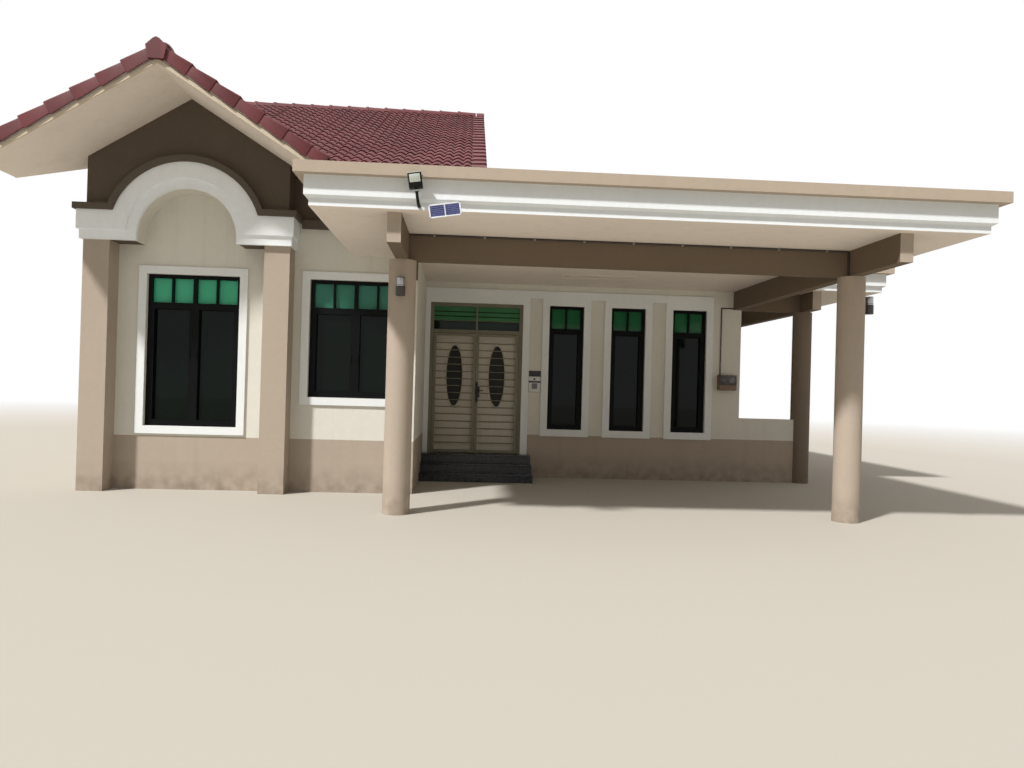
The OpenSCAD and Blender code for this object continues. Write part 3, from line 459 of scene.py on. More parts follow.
def cell_blue(name):
    """Solar cells: dark blue crystals with thin pale lines."""
    f = Finish(name, 0.18, 0.5)
    base = f.mix(f.cells((0.02, 0.02, 0.02)), rgb(28, 34, 88), rgb(44, 52, 116))
    lines = f.math("LESS_THAN", f.math("PINGPONG", f.axis(2), 0.005), 0.0006)
    f.colour(f.mix(f.math("MULTIPLY", lines, 0.6), base, rgb(170, 178, 200)))
    f.roughness(30.0, 2, 0.12, 0.3)
    return f


def middle(name, axis=0):
    """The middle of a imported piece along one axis."""
    low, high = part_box(name)
    return (low[axis] + high[axis])/2


def add(maker, name, *facts, **more):
    MATERIALS[name] = maker(name, *facts, **more).material


def make_materials():
    """Makes every finish and keeps it by its name."""
    light_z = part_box("front_window_glass")[1].z - TOP_LIGHT
    tile_y = TILE_GAUGE*math.cos(MAIN_PITCH)
    tile_x = TILE_GAUGE*math.cos(BAY_PITCH)
    white_stain = 0.03
    add(plaster, "wall_paint", CREAM, plinth=TAUPE)
    add(plaster, "front_paint", CREAM, plinth=TAUPE, upper=DARK_TAUPE_AND_SHADE)
    add(plaster, "taupe_paint", TAUPE)
    add(plaster, "dark_taupe_paint", DARK_TAUPE_AND_SHADE)
    add(plaster, "gable_paint", DARK_TAUPE_AND_SHADE, arch_x=middle("bay_bargeboard"))
    # The copings: a dark paint, darkened further as painted shade for the shade under the eaves
    add(plaster, "coping_paint_and_shade", rgb(93, 85, 76))
    # Beams: painted shade over their taupe; the side beams' front ends keep the plain taupe
    add(plaster, "beam_painted_shade", BEAM_PAINTED_SHADE)
    add(plaster, "beam_end_painted_shade", BEAM_PAINTED_SHADE, front=TAUPE)
    # The side columns: taupe darkened as painted shade for the side porch's shade
    add(plaster, "side_column_painted_shade", rgb(126, 113, 99))
    # The cornice: white, with painted shade on its upward faces and the cream soffit paint underneath
    add(plaster, "cornice_paint", rgb(233, 238, 240), roof_side=LEDGE_PAINTED_SHADE, under=SOFFIT,
        under_z=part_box("cornice")[0].z + 0.02, stain=white_stain)
    add(plaster, "board_paint", rgb(202, 188, 168))
    add(plaster, "white_trim", WHITE, stain=white_stain)
    # The arched band: the trims' white lightened as painted light against the bay roof's shade over it
    add(plaster, "band_painted_light", rgb(242, 247, 250), stain=white_stain)
    add(plaster, "beige_paint", BEIGE)
    add(plaster, "roof_body", SOFFIT, roof_side=TILE_DARK)
    add(plaster, "deck_paint", SOFFIT, roof_side=rgb(150, 146, 138))
    add(cement, "concrete_floor", rgb(176, 170, 160))
    add(cement, "step_tile", rgb(43, 43, 47), gloss=0.3)
    add(tile_glaze, "roof_tile", (VERGE_PITCH, VERGE_PITCH, 100))
    add(tile_glaze, "main_tile", (TILE_W, tile_y, 100))
    add(tile_glaze, "bay_tile", (tile_x, TILE_W, 100))
    add(metal_paint, "window_frame", rgb(17, 19, 19), 0.4, shine=0.06)
    add(tinted_glass, "tinted_glass", DARK_GLASS, GREEN_GLASS, light_z)
    # In the bay the top lights take a brighter green as painted reflection
    add(tinted_glass, "front_glass", DARK_GLASS, GREEN_GLASS, light_z, rgb(88, 212, 166))
    add(tinted_glass, "slot_glass", DARK_GLASS, rgb(54, 126, 84), light_z)
    add(tinted_glass, "transom_tint", rgb(34, 54, 40), rgb(92, 156, 108), TRANSOM_LIGHT)
    add(metal_paint, "door_frame", rgb(116, 112, 94), 0.5)
    add(wood_paint, "door_leaf", rgb(200, 194, 178))
    add(metal_paint, "door_glass", rgb(40, 39, 34), 0.3, shine=0.12)
    add(metal_paint, "grille_paint", rgb(122, 117, 98), 0.45, rgb(88, 78, 64))
    add(smooth, "lamp_metal", rgb(168, 168, 170), 0.32, 0.85)
    add(smooth, "lamp_dark", rgb(70, 68, 66), 0.4, 0.5)
    add(metal_paint, "flood_black", rgb(22, 22, 20), 0.42, shine=0.1)
    add(smooth, "flood_lens", rgb(178, 184, 174), 0.2)
    add(smooth, "flood_led", rgb(150, 146, 118), 0.4)
    add(cell_blue, "solar_cell")
    add(smooth, "solar_rim", rgb(226, 228, 232), 0.35)
    add(smooth, "lamp_white", rgb(204, 197, 186), 0.3)
    add(smooth, "meter_case", rgb(118, 90, 70), 0.35)
    add(smooth, "meter_cover", rgb(52, 48, 46), 0.25)
    add(smooth, "meter_dial", rgb(112, 108, 106), 0.4)
    add(smooth, "plate_metal", rgb(34, 32, 32), 0.5)
    add(smooth, "plate_card", rgb(214, 214, 212), 0.45)
    add(smooth, "plate_grey", rgb(112, 106, 112), 0.45)
    add(metal_paint, "valley_metal", rgb(84, 62, 60), 0.5)
    add(cement, "mortar", rgb(120, 84, 80))
    add(smooth, "conduit", rgb(64, 56, 50), 0.5)
    add(smooth, "steel", rgb(150, 150, 150), 0.35, 0.9)
    add(smooth, "seal", rgb(24, 24, 24), 0.7)


# Mesh building

def add_object(name, data):
    """A new object in the scene."""
    made = bpy.data.objects.new(name, data)
    SCENE.collection.objects.link(made)
    return made


class Shape:
    """Collects solids in model coordinates and turns them into one piece."""

    def __init__(self):
        self.bm = bmesh.new()

    def loft(self, rings, capped=True, mat=0):
        """Skins a row of closed rings that have as many points each."""
        rows = [[self.bm.verts.new(p) for p in ring] for ring in rings]
        count = len(rows[0])
        for lower, upper in zip(rows, rows[1:]):
            for i in range(count):
                j = (i + 1) % count
                self.bm.faces.new((lower[i], lower[j], upper[j], upper[i])).material_index = mat
        if capped:
            self.bm.faces.new(list(reversed(rows[0]))).material_index = mat
            self.bm.faces.new(rows[-1]).material_index = mat

    def box(self, low, high, bevel=0.003, mat=0):
        """A box between two corners, with rounded edges."""
        low = Vector(low)
        high = Vector(high)
        mid = (low + high)/2
        size = high - low
        made = bmesh.ops.create_cube(self.bm, size=1.0)["verts"]
        for v in made:
            v.co = Vector(v.co[i]*size[i] for i in range(3))
        faces = {f for v in made for f in v.link_faces}
        if bevel > 0:
            edges = list({e for f in faces for e in f.edges})
            grown = bmesh.ops.bevel(self.bm, geom=edges, offset=min(bevel, min(size)*0.4), segments=2,
                                    profile=0.6, affect="EDGES")
            faces = {f for v in grown["verts"] for f in v.link_faces}
        for v in {v for f in faces for v in f.verts}:
            v.co += mid
        for f in faces:
            f.material_index = mat

    def prism(self, outline, place, depth, mat=0):
        """Extrudes a flat outline; place(a, b, d) gives the point at outline place a, b and depth d."""
        self.loft([[place(a, b, d) for a, b in outline] for d in depth], mat=mat)

    def tube(self, path, radius, sides=10, mat=0):
        """A round tube along a path of points, mitred at its corners."""
        points = [Vector(p) for p in path]
        rings = []
        side = None
        for i, p in enumerate(points):
            before = (p - points[i - 1]).normalized() if i else None
            after = (points[i + 1] - p).normalized() if i < len(points) - 1 else None
            line = ((before or after) + (after or before)).normalized()
            if side is None:
                side = line.orthogonal().normalized()
            side = (side - line*side.dot(line)).normalized()
            up = line.cross(side)
            grow = 1/max(0.5, line.dot(after or before))
            reach = radius*(grow if before and after else 1)
            rings.append([p + (side*math.cos(a) + up*math.sin(a))*reach
                          for a in (2*math.pi*k/sides for k in range(sides))])
        self.loft(rings, mat=mat)

    def lathe(self, profile, centre, axis, sides, mat=0):
        """Turns a profile of (distance along the axis, radius) about an axis through centre."""
        axis = Vector(axis).normalized()
        side = axis.orthogonal().normalized()
        up = axis.cross(side)
        centre = Vector(centre)
        rings = [[centre + axis*d + (side*math.cos(a) + up*math.sin(a))*max(r, 0.0004)
                  for a in (2*math.pi*k/sides for k in range(sides))] for d, r in profile]
        self.loft(rings, mat=mat)

    def cut(self, point, normal):
        """Throws away all that lies on the normal's side of a plane."""
        geom = self.bm.verts[:] + self.bm.edges[:] + self.bm.faces[:]
        bmesh.ops.bisect_plane(self.bm, geom=geom, dist=1e-5, plane_co=point, plane_no=normal,
                               clear_outer=True)

    def move(self, matrix):
        """Moves all that was drawn so far."""
        for v in self.bm.verts:
            v.co = matrix @ v.co

    def piece(self, name, finishes, slot, body="house", stands_for=()):
        """Writes the mesh, smooths its round faces and lets it ride on its body."""
        bmesh.ops.recalc_face_normals(self.bm, faces=self.bm.faces[:])
        mesh = bpy.data.meshes.new(name)
        self.bm.to_mesh(mesh)
        self.bm.free()
        for finish in finishes:
            mesh.materials.append(MATERIALS[finish])
        for polygon in mesh.polygons:
            polygon.use_smooth = True
        mesh.set_sharp_from_angle(angle=SMOOTH_ANGLE)
        piece = add_object(name, mesh)
        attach(piece, body)
        if stands_for:
            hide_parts(*stands_for)


# Roof tiles

class Slope:
    """A roof slope: along its eave, up its face, and out of it."""

    def __init__(self, origin, along, pitch, uphill):
        self.origin = Vector(origin)
        self.along = Vector(along)
        self.up = Vector(uphill)*math.cos(pitch) + Vector((0, 0, math.sin(pitch)))
        self.out = Vector((0, 0, math.cos(pitch))) - Vector(uphill)*math.sin(pitch)

    def at(self, u, v, w):
        return self.origin + self.along*u + self.up*v + self.out*w


def tile_profile():
    """Places across one tile and the height of its two rolls there."""
    points = []
    half = TILE_W/2
    for roll, height in enumerate((ROLL_H, ROLL_H*SECOND_ROLL)):
        for k in range(ROLL_STEPS):
            t = k/ROLL_STEPS
            rise = 0.0 if t < PAN_SHARE else math.sin(math.pi*(t - PAN_SHARE)/(1 - PAN_SHARE))**0.75
            points.append((half*(roll + t), height*rise))
    points.append((TILE_W + 0.006, 0.006))
    return points


def add_tile(shape, slope, u0, v0, length, rng):
    """One tile: its rolled top, with a lip at its lower end."""
    lift = rng.uniform(-0.0012, 0.0018)
    skew = rng.uniform(-0.0012, 0.0012)
    shift = rng.uniform(-0.0015, 0.0015)
    rows = [[], [], [], []]
    for a, h in tile_profile():
        top = TILE_LOW + lift + h + skew*(a/TILE_W - 0.5)
        places = ((0.002, top - TILE_LIP), (0.0, top - 0.004), (0.006, top),
                  (length, TILE_HIGH + lift*0.5 + h))
        for row, (v, w) in zip(rows, places):
            row.append(shape.bm.verts.new(slope.at(u0 + a + shift, v0 + v, w)))
    for under, over in zip(rows, rows[1:]):
        for i in range(len(under) - 1):
            shape.bm.faces.new((under[i], under[i + 1], over[i + 1], over[i]))


def tile_field(slope, width, length, seed):
    """Courses of tiles from the eave to the ridge, from the verge's margin to width along the eave."""
    shape = Shape()
    rng = random.Random(seed)
    courses = round(length/TILE_GAUGE)
    gauge = length/courses
    columns = math.ceil((width - FIELD_MARGIN)/TILE_W)
    for row in range(courses):
        past = EAVE_LAP if row == 0 else 0.0
        reach = gauge - RIDGE_GAP if row == courses - 1 else gauge + TILE_TAIL + past
        for column in range(columns):
            add_tile(shape, slope, FIELD_MARGIN + column*TILE_W, row*gauge - past, reach, rng)
    return shape


def roof_facts():
    """The roofs' edges and heights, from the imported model."""
    low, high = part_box("main_roof")
    main_run = (high.y - low.y)/2
    bay_x = middle("bay_bargeboard")
    bay_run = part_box("bay_bargeboard")[1].x - bay_x
    eave_top = high.z - main_run*math.tan(MAIN_PITCH)
    return SimpleNamespace(
        left=low.x, right=high.x, eave_y=main_run, eave_top=eave_top, ridge_top=high.z,
        bay_x=bay_x, bay_run=bay_run, bay_front=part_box("bay_roof")[0].y,
        bay_top=eave_top + bay_run*math.tan(BAY_PITCH),
        valley_y=-main_run + bay_run*math.tan(BAY_PITCH)/math.tan(MAIN_PITCH))


def main_slope(roof, x, along, depth):
    """A slope of the main roof from its end at x; depth is -1 in front and 1 behind."""
    return Slope((x, depth*roof.eave_y, roof.eave_top), (along, 0, 0), MAIN_PITCH, (0, -depth, 0))


def bay_slope(roof, side):
    """The bay's left (-1) or right (1) slope."""
    return Slope((roof.bay_x + side*roof.bay_run, roof.bay_front, roof.eave_top), (0, 1, 0), BAY_PITCH,
                 (-side, 0, 0))


def valley_plane(roof, side, gap):
    """A point and a normal of the upright plane over a valley, the normal away from the bay."""
    foot = Vector((roof.bay_x + side*roof.bay_run, -roof.eave_y, 0))
    top = Vector((roof.bay_x, roof.valley_y, 0))
    line = (top - foot).normalized()
    normal = Vector((line.y*side, -line.x*side, 0))
    return foot + normal*gap, normal


def field_tiles(roof):
    """The tiled slopes of both roofs."""
    main_len = roof.eave_y/math.cos(MAIN_PITCH)
    edge = roof.right - FIELD_MARGIN
    shape = tile_field(main_slope(roof, roof.left, 1, 1), edge - roof.left, main_len, 11)
    shape.cut(Vector((edge + 0.01, 0, 0)), Vector((1, 0, 0)))
    shape.piece("rear_slope_tiles", ["main_tile"], "roof_tile")

    for x, along, seed, name in ((roof.right, -1, 12, "front_slope_tiles"),
                                 (roof.left, 1, 13, "front_slope_tiles_left")):
        shape = tile_field(main_slope(roof, x, along, -1), abs(roof.bay_x - x), main_len, seed)
        shape.cut(Vector((roof.bay_x, 0, 0)), Vector((along, 0, 0)))
        point, normal = valley_plane(roof, -along, VALLEY_CUT)
        shape.cut(point, -normal)
        shape.piece(name, ["main_tile"], "roof_tile")

    for side, name in ((-1, "bay_tiles_left"), (1, "bay_tiles_right")):
        shape = tile_field(bay_slope(roof, side), roof.valley_y - roof.bay_front,
                           roof.bay_run/math.cos(BAY_PITCH), 20 + side)
        shape.cut(*valley_plane(roof, side, -VALLEY_CUT))
        shape.piece(name, ["bay_tile"], "roof_tile")


def valley_trays(roof):
    """The folded metal trays in the two valleys."""
    shape = Shape()
    for side in (-1, 1):
        foot = Vector((roof.bay_x + side*roof.bay_run, -roof.eave_y, roof.eave_top))
        top = Vector((roof.bay_x, roof.valley_y, roof.bay_top))
        _, normal = valley_plane(roof, side, 0)
        rise_out = normal.y*math.tan(MAIN_PITCH)
        rise_in = abs(normal.x)*math.tan(BAY_PITCH)
        wide = VALLEY_CUT + TRAY_LAP
        lift = Vector((0, 0, TRAY_THICK))
        rings = []
        for p in (foot, top):
            base = p + Vector((0, 0, TRAY_UP))
            out = base + normal*wide + Vector((0, 0, rise_out*wide))
            inn = base - normal*wide + Vector((0, 0, rise_in*wide))
            rings.append([out, base, inn, inn + lift, base + lift, out + lift])
        shape.loft(rings)
    shape.piece("valley_trays", ["valley_metal"], "roof_tile")


def verge_ring(slope, v, top, bottom, squeeze):
    """The section of a verge tile at v up the slope."""
    outer = -VERGE_OUT + squeeze
    inner = outer + VERGE_SHELL
    under = top - VERGE_SHELL
    section = [(outer, bottom)]
    for k in range(5):
        a = math.pi/2*k/4
        section.append((outer + VERGE_ROUND*(1 - math.cos(a)), top - VERGE_ROUND*(1 - math.sin(a))))
    section += [(VERGE_COVER, top - VERGE_THIN), (VERGE_COVER, under - VERGE_THIN)]
    section += [(inner + VERGE_FILLET, under), (inner, under - VERGE_FILLET), (inner, bottom)]
    return [slope.at(a, v, n) for a, n in section]


def verge_run(shape, slope, length):
    """Lapped verge tiles up one slope, from its eave to its ridge."""
    count = round(length/VERGE_PITCH)
    pitch = length/count
    starts = [-VERGE_EAVE] + [(k + VERGE_FIRST)*pitch for k in range(count - 1)] + [length - VERGE_STOP]
    for v0, v1 in zip(starts, starts[1:]):
        steps = [
            (v0, VERGE_LOW - 0.006, -VERGE_DROP + 0.006, 0.004),
            (v0 + 0.006, VERGE_LOW, -VERGE_DROP, 0.0),
            (v1, VERGE_HIGH + 0.004, -VERGE_DROP + 0.024, 0.011),
        ]
        if v1 < starts[-1]:
            steps.append((v1 + VERGE_LAP, VERGE_HIGH, -VERGE_DROP + 0.026, 0.012))
        shape.loft([verge_ring(slope, *step) for step in steps])


def apex_block(shape, place, depth):
    """The five-sided cap that closes a ridge at its verge; place(a, b, d) is across, up and along."""
    side = [(APEX_FOOT, -APEX_DROP), (APEX_HALF, APEX_TOP - APEX_SHOULDER),
            (APEX_HALF*0.3, APEX_TOP - APEX_SHOULDER*0.18)]
    outline = side + [(0, APEX_TOP)] + [(-a, b) for a, b in reversed(side)]
    shape.prism(outline, place, depth)


def verge_tiles(roof):
    """Verge tiles of the bay and of the main roof's two ends."""
    shape = Shape()
    for side in (-1, 1):
        verge_run(shape, bay_slope(roof, side), roof.bay_run/math.cos(BAY_PITCH))
    front = roof.bay_front - VERGE_OUT
    apex_block(shape, lambda a, b, d: Vector((roof.bay_x + a, front + d, roof.bay_top + b)),
               BAY_APEX_DEPTH)
    shape.piece("bay_verge_caps", ["roof_tile"], "roof_tile", stands_for=("bay_verge_tiles",))

    shape = Shape()
    for x, along in ((roof.left, 1), (roof.right, -1)):
        for depth in (-1, 1):
            verge_run(shape, main_slope(roof, x, along, depth), roof.eave_y/math.cos(MAIN_PITCH))
        edge = x - along*VERGE_OUT
        apex_block(shape, lambda a, b, d: Vector((edge + along*d, a, roof.ridge_top + b)),
                   MAIN_APEX_DEPTH)
    shape.piece("main_verge_caps", ["roof_tile"], "roof_tile", stands_for=("main_verge_tiles",))


def ridge_run(shape, place, length, rng):
    """Lapped half-round ridge tiles on a mortar bed; place(a, b, d) is across, up and along."""
    count = round(length/CAP_LENGTH)
    pitch = length/count
    arc = [math.pi*k/14 for k in range(15)]
    for i in range(count):
        d0 = i*pitch
        d1 = min(length, (i + 1)*pitch + CAP_LAP)
        collar = d0 + CAP_COLLAR_LENGTH
        rise = CAP_RISE + rng.uniform(-0.002, 0.002) - CAP_R*0.5
        rings = []
        for d, r in ((d0, CAP_R + CAP_COLLAR), (collar, CAP_R + CAP_COLLAR), (collar + 0.005, CAP_R + 0.002),
                     (d1, CAP_R - 0.01)):
            around = [(r, a) for a in arc] + [(r - CAP_SHELL, a) for a in reversed(arc)]
            rings.append([place(s*math.cos(a), rise + s*math.sin(a), d) for s, a in around])
        shape.loft(rings)
    bed = [(-0.12, -0.10), (-0.105, 0.0), (0, 0.035), (0.105, 0.0), (0.12, -0.10)]
    shape.prism(bed, place, (0.02, length - 0.02), mat=1)


def ridge_caps(roof):
    """Ridge tiles of both roofs."""
    rng = random.Random(5)
    shape = Shape()
    start = roof.left + CAP_FROM_END
    ridge_run(shape, lambda a, b, d: Vector((start + d, a, roof.ridge_top + b)),
              roof.right - CAP_FROM_END - start, rng)
    front = roof.bay_front + CAP_FROM_FRONT
    ridge_run(shape, lambda a, b, d: Vector((roof.bay_x + a, front + d, roof.bay_top + b)),
              roof.valley_y - front + CAP_LAP, rng)
    shape.piece("ridge_caps", ["roof_tile", "mortar"], "roof_tile", stands_for=("ridge_tiles",))


# Windows and doors

def window_bars():
    """Thin security bars behind the glass of the two wide front windows."""
    shape = Shape()
    low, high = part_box("front_window_glass")
    light = high.z - TOP_LIGHT
    depth = high.y + BAR_BEHIND
    reach = WINDOW_HALF - 0.01
    for mid, sill in ((middle("bay_bargeboard"), low.z), (high.x - WINDOW_HALF, SECOND_SILL)):
        for share in BAR_SHARES:
            z = light - (light - sill)*share
            shape.tube([(mid - reach, depth, z), (mid + reach, depth, z)], BAR_R, 8)
    shape.piece("window_bars", ["steel"], "window_frame")


def window_handles():
    """Handles of the front casements."""
    shape = Shape()
    low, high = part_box("front_window_frames")
    places = [(mid + side*WIDE_HANDLE_X, low.y, WIDE_HANDLE_Z)
              for mid in (middle("bay_bargeboard"), high.x - WINDOW_HALF) for side in (-1, 1)]
    low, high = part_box("slot_window_frames")
    pitch = (high.x - low.x - SLOT_W)/2
    places += [(low.x + i*pitch + SLOT_W - SLOT_HANDLE_X, low.y, SLOT_HANDLE_Z) for i in range(3)]
    for x, face, (bottom, top) in places:
        shape.box((x - HANDLE_HALF, face - HANDLE_OUT, bottom), (x + HANDLE_HALF, face, top))
    shape.piece("window_handles", ["window_frame"], "window_frame")


def leaf_panels(name, glass, leaf, body):
    """Beads round a leaf's oval pane and raised panels over and under it, on both faces."""
    shape = Shape()
    g_low, g_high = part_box(glass)
    l_low, l_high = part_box(leaf)
    mid_x = middle(glass)
    mid_z = middle(glass, 2)
    a = (g_high.x - g_low.x)/2
    b = (g_high.z - g_low.z)/2
    x0 = l_low.x + PANEL_EDGE
    x1 = 2*mid_x - x0
    steps = 48
    for face, out in ((l_low.y, -1), (l_low.y + LEAF_THICK, 1)):
        for grow, proud in BEADS:
            rings = []
            for k in range(steps):
                t = 2*math.pi*k/steps
                foot = Vector((mid_x + (a + grow)*math.cos(t), face, mid_z + (b + grow)*math.sin(t)))
                side = Vector((math.cos(t)*b, 0, math.sin(t)*a)).normalized()*BEAD_HALF
                rings.append([foot + side*math.cos(s) + Vector((0, out*proud*math.sin(s), 0))
                              for s in (math.pi*j/4 for j in range(5))])
            shape.loft(rings + rings[:1], capped=False)
        for z0, z1 in ((l_low.z + 0.12, g_low.z - 0.11), (g_high.z + 0.09, l_high.z - 0.09)):
            for inset, proud in ((0.0, 0.009), (PANEL_INSET, 0.014)):
                if z1 - z0 > 3*inset:
                    y0, y1 = sorted((face, face + out*proud))
                    shape.box((x0 + inset, y0, z0 + inset), (x1 - inset, y1, z1 - inset), 0.006)
    shape.piece(name, ["door_leaf"], "door_leaf", body)


def gate_lock():
    """The long handle plate, its lever and the lock box on the right gate's inner stile."""
    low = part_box("grille_right")[0]
    shape = Shape()
    x = low.x + 0.024
    y = low.y
    z = GATE_LOCK_Z
    lever = z + 0.03
    shape.box((x - 0.017, y - 0.006, z - 0.175), (x + 0.017, y, z + 0.175), 0.005)
    shape.lathe([(0, 0.010), (0.028, 0.009), (0.034, 0.013)], (x, y - 0.005, lever), TO_FRONT, 16)
    shape.tube([(x, y - 0.034, lever), (x + 0.03, y - 0.038, lever), (x + 0.11, y - 0.036, lever - 0.004)],
               LEVER_R)
    shape.lathe([(0, 0.013), (0.008, 0.012), (0.010, 0.006)], (x, y - 0.004, z - 0.07), TO_FRONT, 18)
    shape.box((x - 0.02, y + 0.03, z - 0.09), (x + 0.05, y + 0.034, z + 0.09), 0.002)
    shape.piece("gate_lock", ["seal"], "grille_paint", "gate_right")


def lever_handles():
    """A lever handle inside each door leaf."""
    for leaf, body, side in (("door_leaf_left", "leaf_left", 1), ("door_leaf_right", "leaf_right", -1)):
        low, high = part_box(leaf)
        x = (high.x if side > 0 else low.x) - side*0.05
        back = low.y + LEAF_THICK
        shape = Shape()
        shape.box((x - 0.02, back, LEVER_Z - 0.13), (x + 0.02, back + 0.006, LEVER_Z + 0.09))
        shape.tube([(x, back + 0.005, LEVER_Z), (x, back + 0.04, LEVER_Z),
                    (x - side*0.03, back + 0.05, LEVER_Z), (x - side*0.12, back + 0.05, LEVER_Z - 0.005)],
                   LEVER_R)
        shape.piece(leaf + "_handle", ["steel"], "door_leaf", body)


def transom_bars():
    """Level bars before the panes over the door: two near-black ones, as painted shade, over a pale one."""
    shape = Shape()
    low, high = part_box("transom_glass")
    y = low.y - 0.012
    for z, mat in TRANSOM_BARS:
        shape.tube([(low.x, y, z), (high.x, y, z)], TRANSOM_BAR_R, 8, mat)
    shape.piece("transom_bars", ["window_frame", "grille_paint"], "door_frame")


def step_noses():
    """Tile edges on the steps and tile joints on their fronts."""
    shape = Shape()
    low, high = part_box("entrance_steps")
    steps = 3
    tiles = 6
    riser = high.z/steps
    for i in range(steps):
        y = low.y + (high.y - low.y)*i/steps
        z = riser*(i + 1)
        shape.box((low.x, y - 0.012, z - 0.022), (high.x, y + 0.03, z + 0.003), 0.005)
        for k in range(1, tiles):
            x = low.x + (high.x - low.x)*k/tiles
            shape.box((x - 0.002, y - 0.0015, z - riser + 0.004), (x + 0.002, y + 0.001, z - 0.024), 0, mat=1)
    shape.piece("step_noses", ["step_tile", "seal"], "step_tile")


# Lamps and fittings

def wall_lamp(shape, column, turn):
    """A bright cylinder over a dark one; turn is the lamp's angle round its column."""
    axis = Vector((middle(column), middle(column, 1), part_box("wall_lamps")[0].z))
    foot = axis + Matrix.Rotation(turn, 3, "Z") @ Vector((0, -LAMP_FROM_AXIS, 0))
    up = (0, 0, 1)
    body = LAMP_BODY_R
    tube = LAMP_TUBE_R
    joint = LAMP_BODY_H
    top = LAMP_BODY_H + LAMP_TUBE_H
    shape.lathe([(-0.001, body*0.7), (-0.001, body - 0.002), (0.005, body + 0.001),
                 (joint - 0.006, body + 0.001), (joint + 0.001, body - 0.003)], foot, up, 32, mat=1)
    shape.lathe([(joint, tube + 0.001), (top - 0.01, tube + 0.001), (top, tube - 0.003),
                 (top + 0.002, tube*0.75)], foot, up, 32)
    shape.lathe([(joint + 0.012, tube + 0.002), (joint + 0.018, tube + 0.002)], foot, up, 32, mat=1)


def lamp_details():
    """The bodies of the two wall lamps."""
    shape = Shape()
    wall_lamp(shape, "column_left", 0.0)
    wall_lamp(shape, "column_right", math.pi/2)
    shape.piece("wall_lamp_bodies", ["lamp_metal", "lamp_dark"], "lamp_metal")


def leaning(foot_x, foot_z):
    """Turns a lamp's own upright places into model ones: it leans about a foot."""
    return Matrix.Translation((foot_x, 0, foot_z)) @ Matrix.Rotation(-LAMP_LEAN, 4, "Y")


def flood_foot():
    """Where the flood light's post stands."""
    return middle("column_left") + FLOOD_FROM_COLUMN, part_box("cornice")[0].z + FLOOD_FOOT_UP


def flood_details():
    """The flood light's lens, lamps, rim and cooling fins."""
    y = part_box("flood_light")[0].y
    half = FLOOD_W/2
    z0 = FLOOD_POST
    z1 = FLOOD_POST + FLOOD_H
    back = y + FLOOD_D
    shape = Shape()
    shape.box((-half, y - 0.012, z0), (half, y + 0.002, z1), 0.006)
    shape.box((-half + 0.016, y - 0.014, z0 + 0.058), (half - 0.016, y - 0.010, z1 - 0.018), 0.002, mat=1)
    for i in range(5):
        for j in range(3):
            x = -half + 0.034 + i*0.018
            z = z0 + 0.072 + j*0.017
            shape.box((x - 0.004, y - 0.0155, z - 0.004), (x + 0.004, y - 0.0135, z + 0.004), 0.001, mat=2)
    for i in range(7):
        x = -half + 0.014 + i*0.0187
        shape.box((x - 0.002, back - 0.002, z0 + 0.01), (x + 0.002, back + 0.007, z1 - 0.01), 0.001)
    shape.box((-half - 0.003, y - 0.016, z1 - 0.006), (half + 0.003, y + 0.006, z1 + 0.004), 0.003, mat=1)
    shape.lathe([(-0.024, 0.012), (-0.022, 0.019), (0.022, 0.019), (0.024, 0.012)],
                (0, back - 0.030, z0 - 0.018), (1, 0, 0), 20, mat=3)
    shape.move(leaning(*flood_foot()))
    shape.piece("flood_lamp_face", ["flood_black", "flood_lens", "flood_led", "lamp_metal"], "flood_black")


def solar_details():
    """The solar panel's rim and two rows of cells."""
    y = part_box("solar_panel")[0].y
    half = SOLAR_W/2
    tall = SOLAR_H/2
    rim = 0.014
    bar = 0.004
    front = y - 0.004
    back = y + 0.004
    shape = Shape()
    for x0, z0, x1, z1 in ((-half, -tall, half, rim - tall), (-half, tall - rim, half, tall),
                           (-half, -tall, rim - half, tall), (half - rim, -tall, half, tall)):
        shape.box((x0, front, z0), (x1, back, z1), 0.002)
    shape.box((-bar, y - 0.003, rim - tall), (bar, y + 0.002, tall - rim), 0)
    rows = 6
    step = 2*(tall - rim)/rows
    for x0, x1 in ((rim - half, -bar), (bar, half - rim)):
        for i in range(rows):
            z = rim - tall + i*step
            shape.box((x0 + 0.002, y - 0.002, z + 0.001), (x1 - 0.002, y + 0.001, z + step - 0.001), 0, mat=1)
    shape.move(leaning(flood_foot()[0] + SOLAR_FROM_FLOOD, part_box("cornice")[0].z - SOLAR_DROP))
    shape.piece("solar_face", ["solar_rim", "solar_cell"], "solar_cell")


def meter_details():
    """The meter box's lower case, clear dome, dial and screws."""
    low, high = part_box("meter_box")
    shape = Shape()
    y = low.y
    mid = middle("meter_box")
    shape.box((low.x + 0.012, y - 0.012, low.z + 0.014), (high.x - 0.012, y + 0.004, low.z + 0.090), 0.006)
    shape.box((low.x + 0.004, y - 0.018, low.z + 0.096), (high.x - 0.004, y + 0.004, high.z - 0.004),
              0.012, mat=1)
    shape.lathe([(0, 0.052), (0.010, 0.050), (0.014, 0.044)], (mid + 0.06, y - 0.016, low.z + 0.185),
                TO_FRONT, 28, mat=2)
    shape.box((mid - 0.115, y - 0.021, low.z + 0.165), (mid - 0.03, y - 0.017, low.z + 0.205), 0.002, mat=2)
    for i in range(5):
        x = mid - 0.10 + i*0.014
        shape.box((x - 0.004, y - 0.023, low.z + 0.176), (x + 0.004, y - 0.020, low.z + 0.194), 0, mat=3)
    for i in range(4):
        shape.lathe([(0, 0.008), (0.004, 0.008), (0.006, 0.005)],
                    (low.x + 0.06 + i*0.065, y - 0.012, low.z + 0.06), TO_FRONT, 12, mat=3)
    shape.piece("meter_face", ["meter_case", "meter_cover", "meter_dial", "seal"], "meter_case")


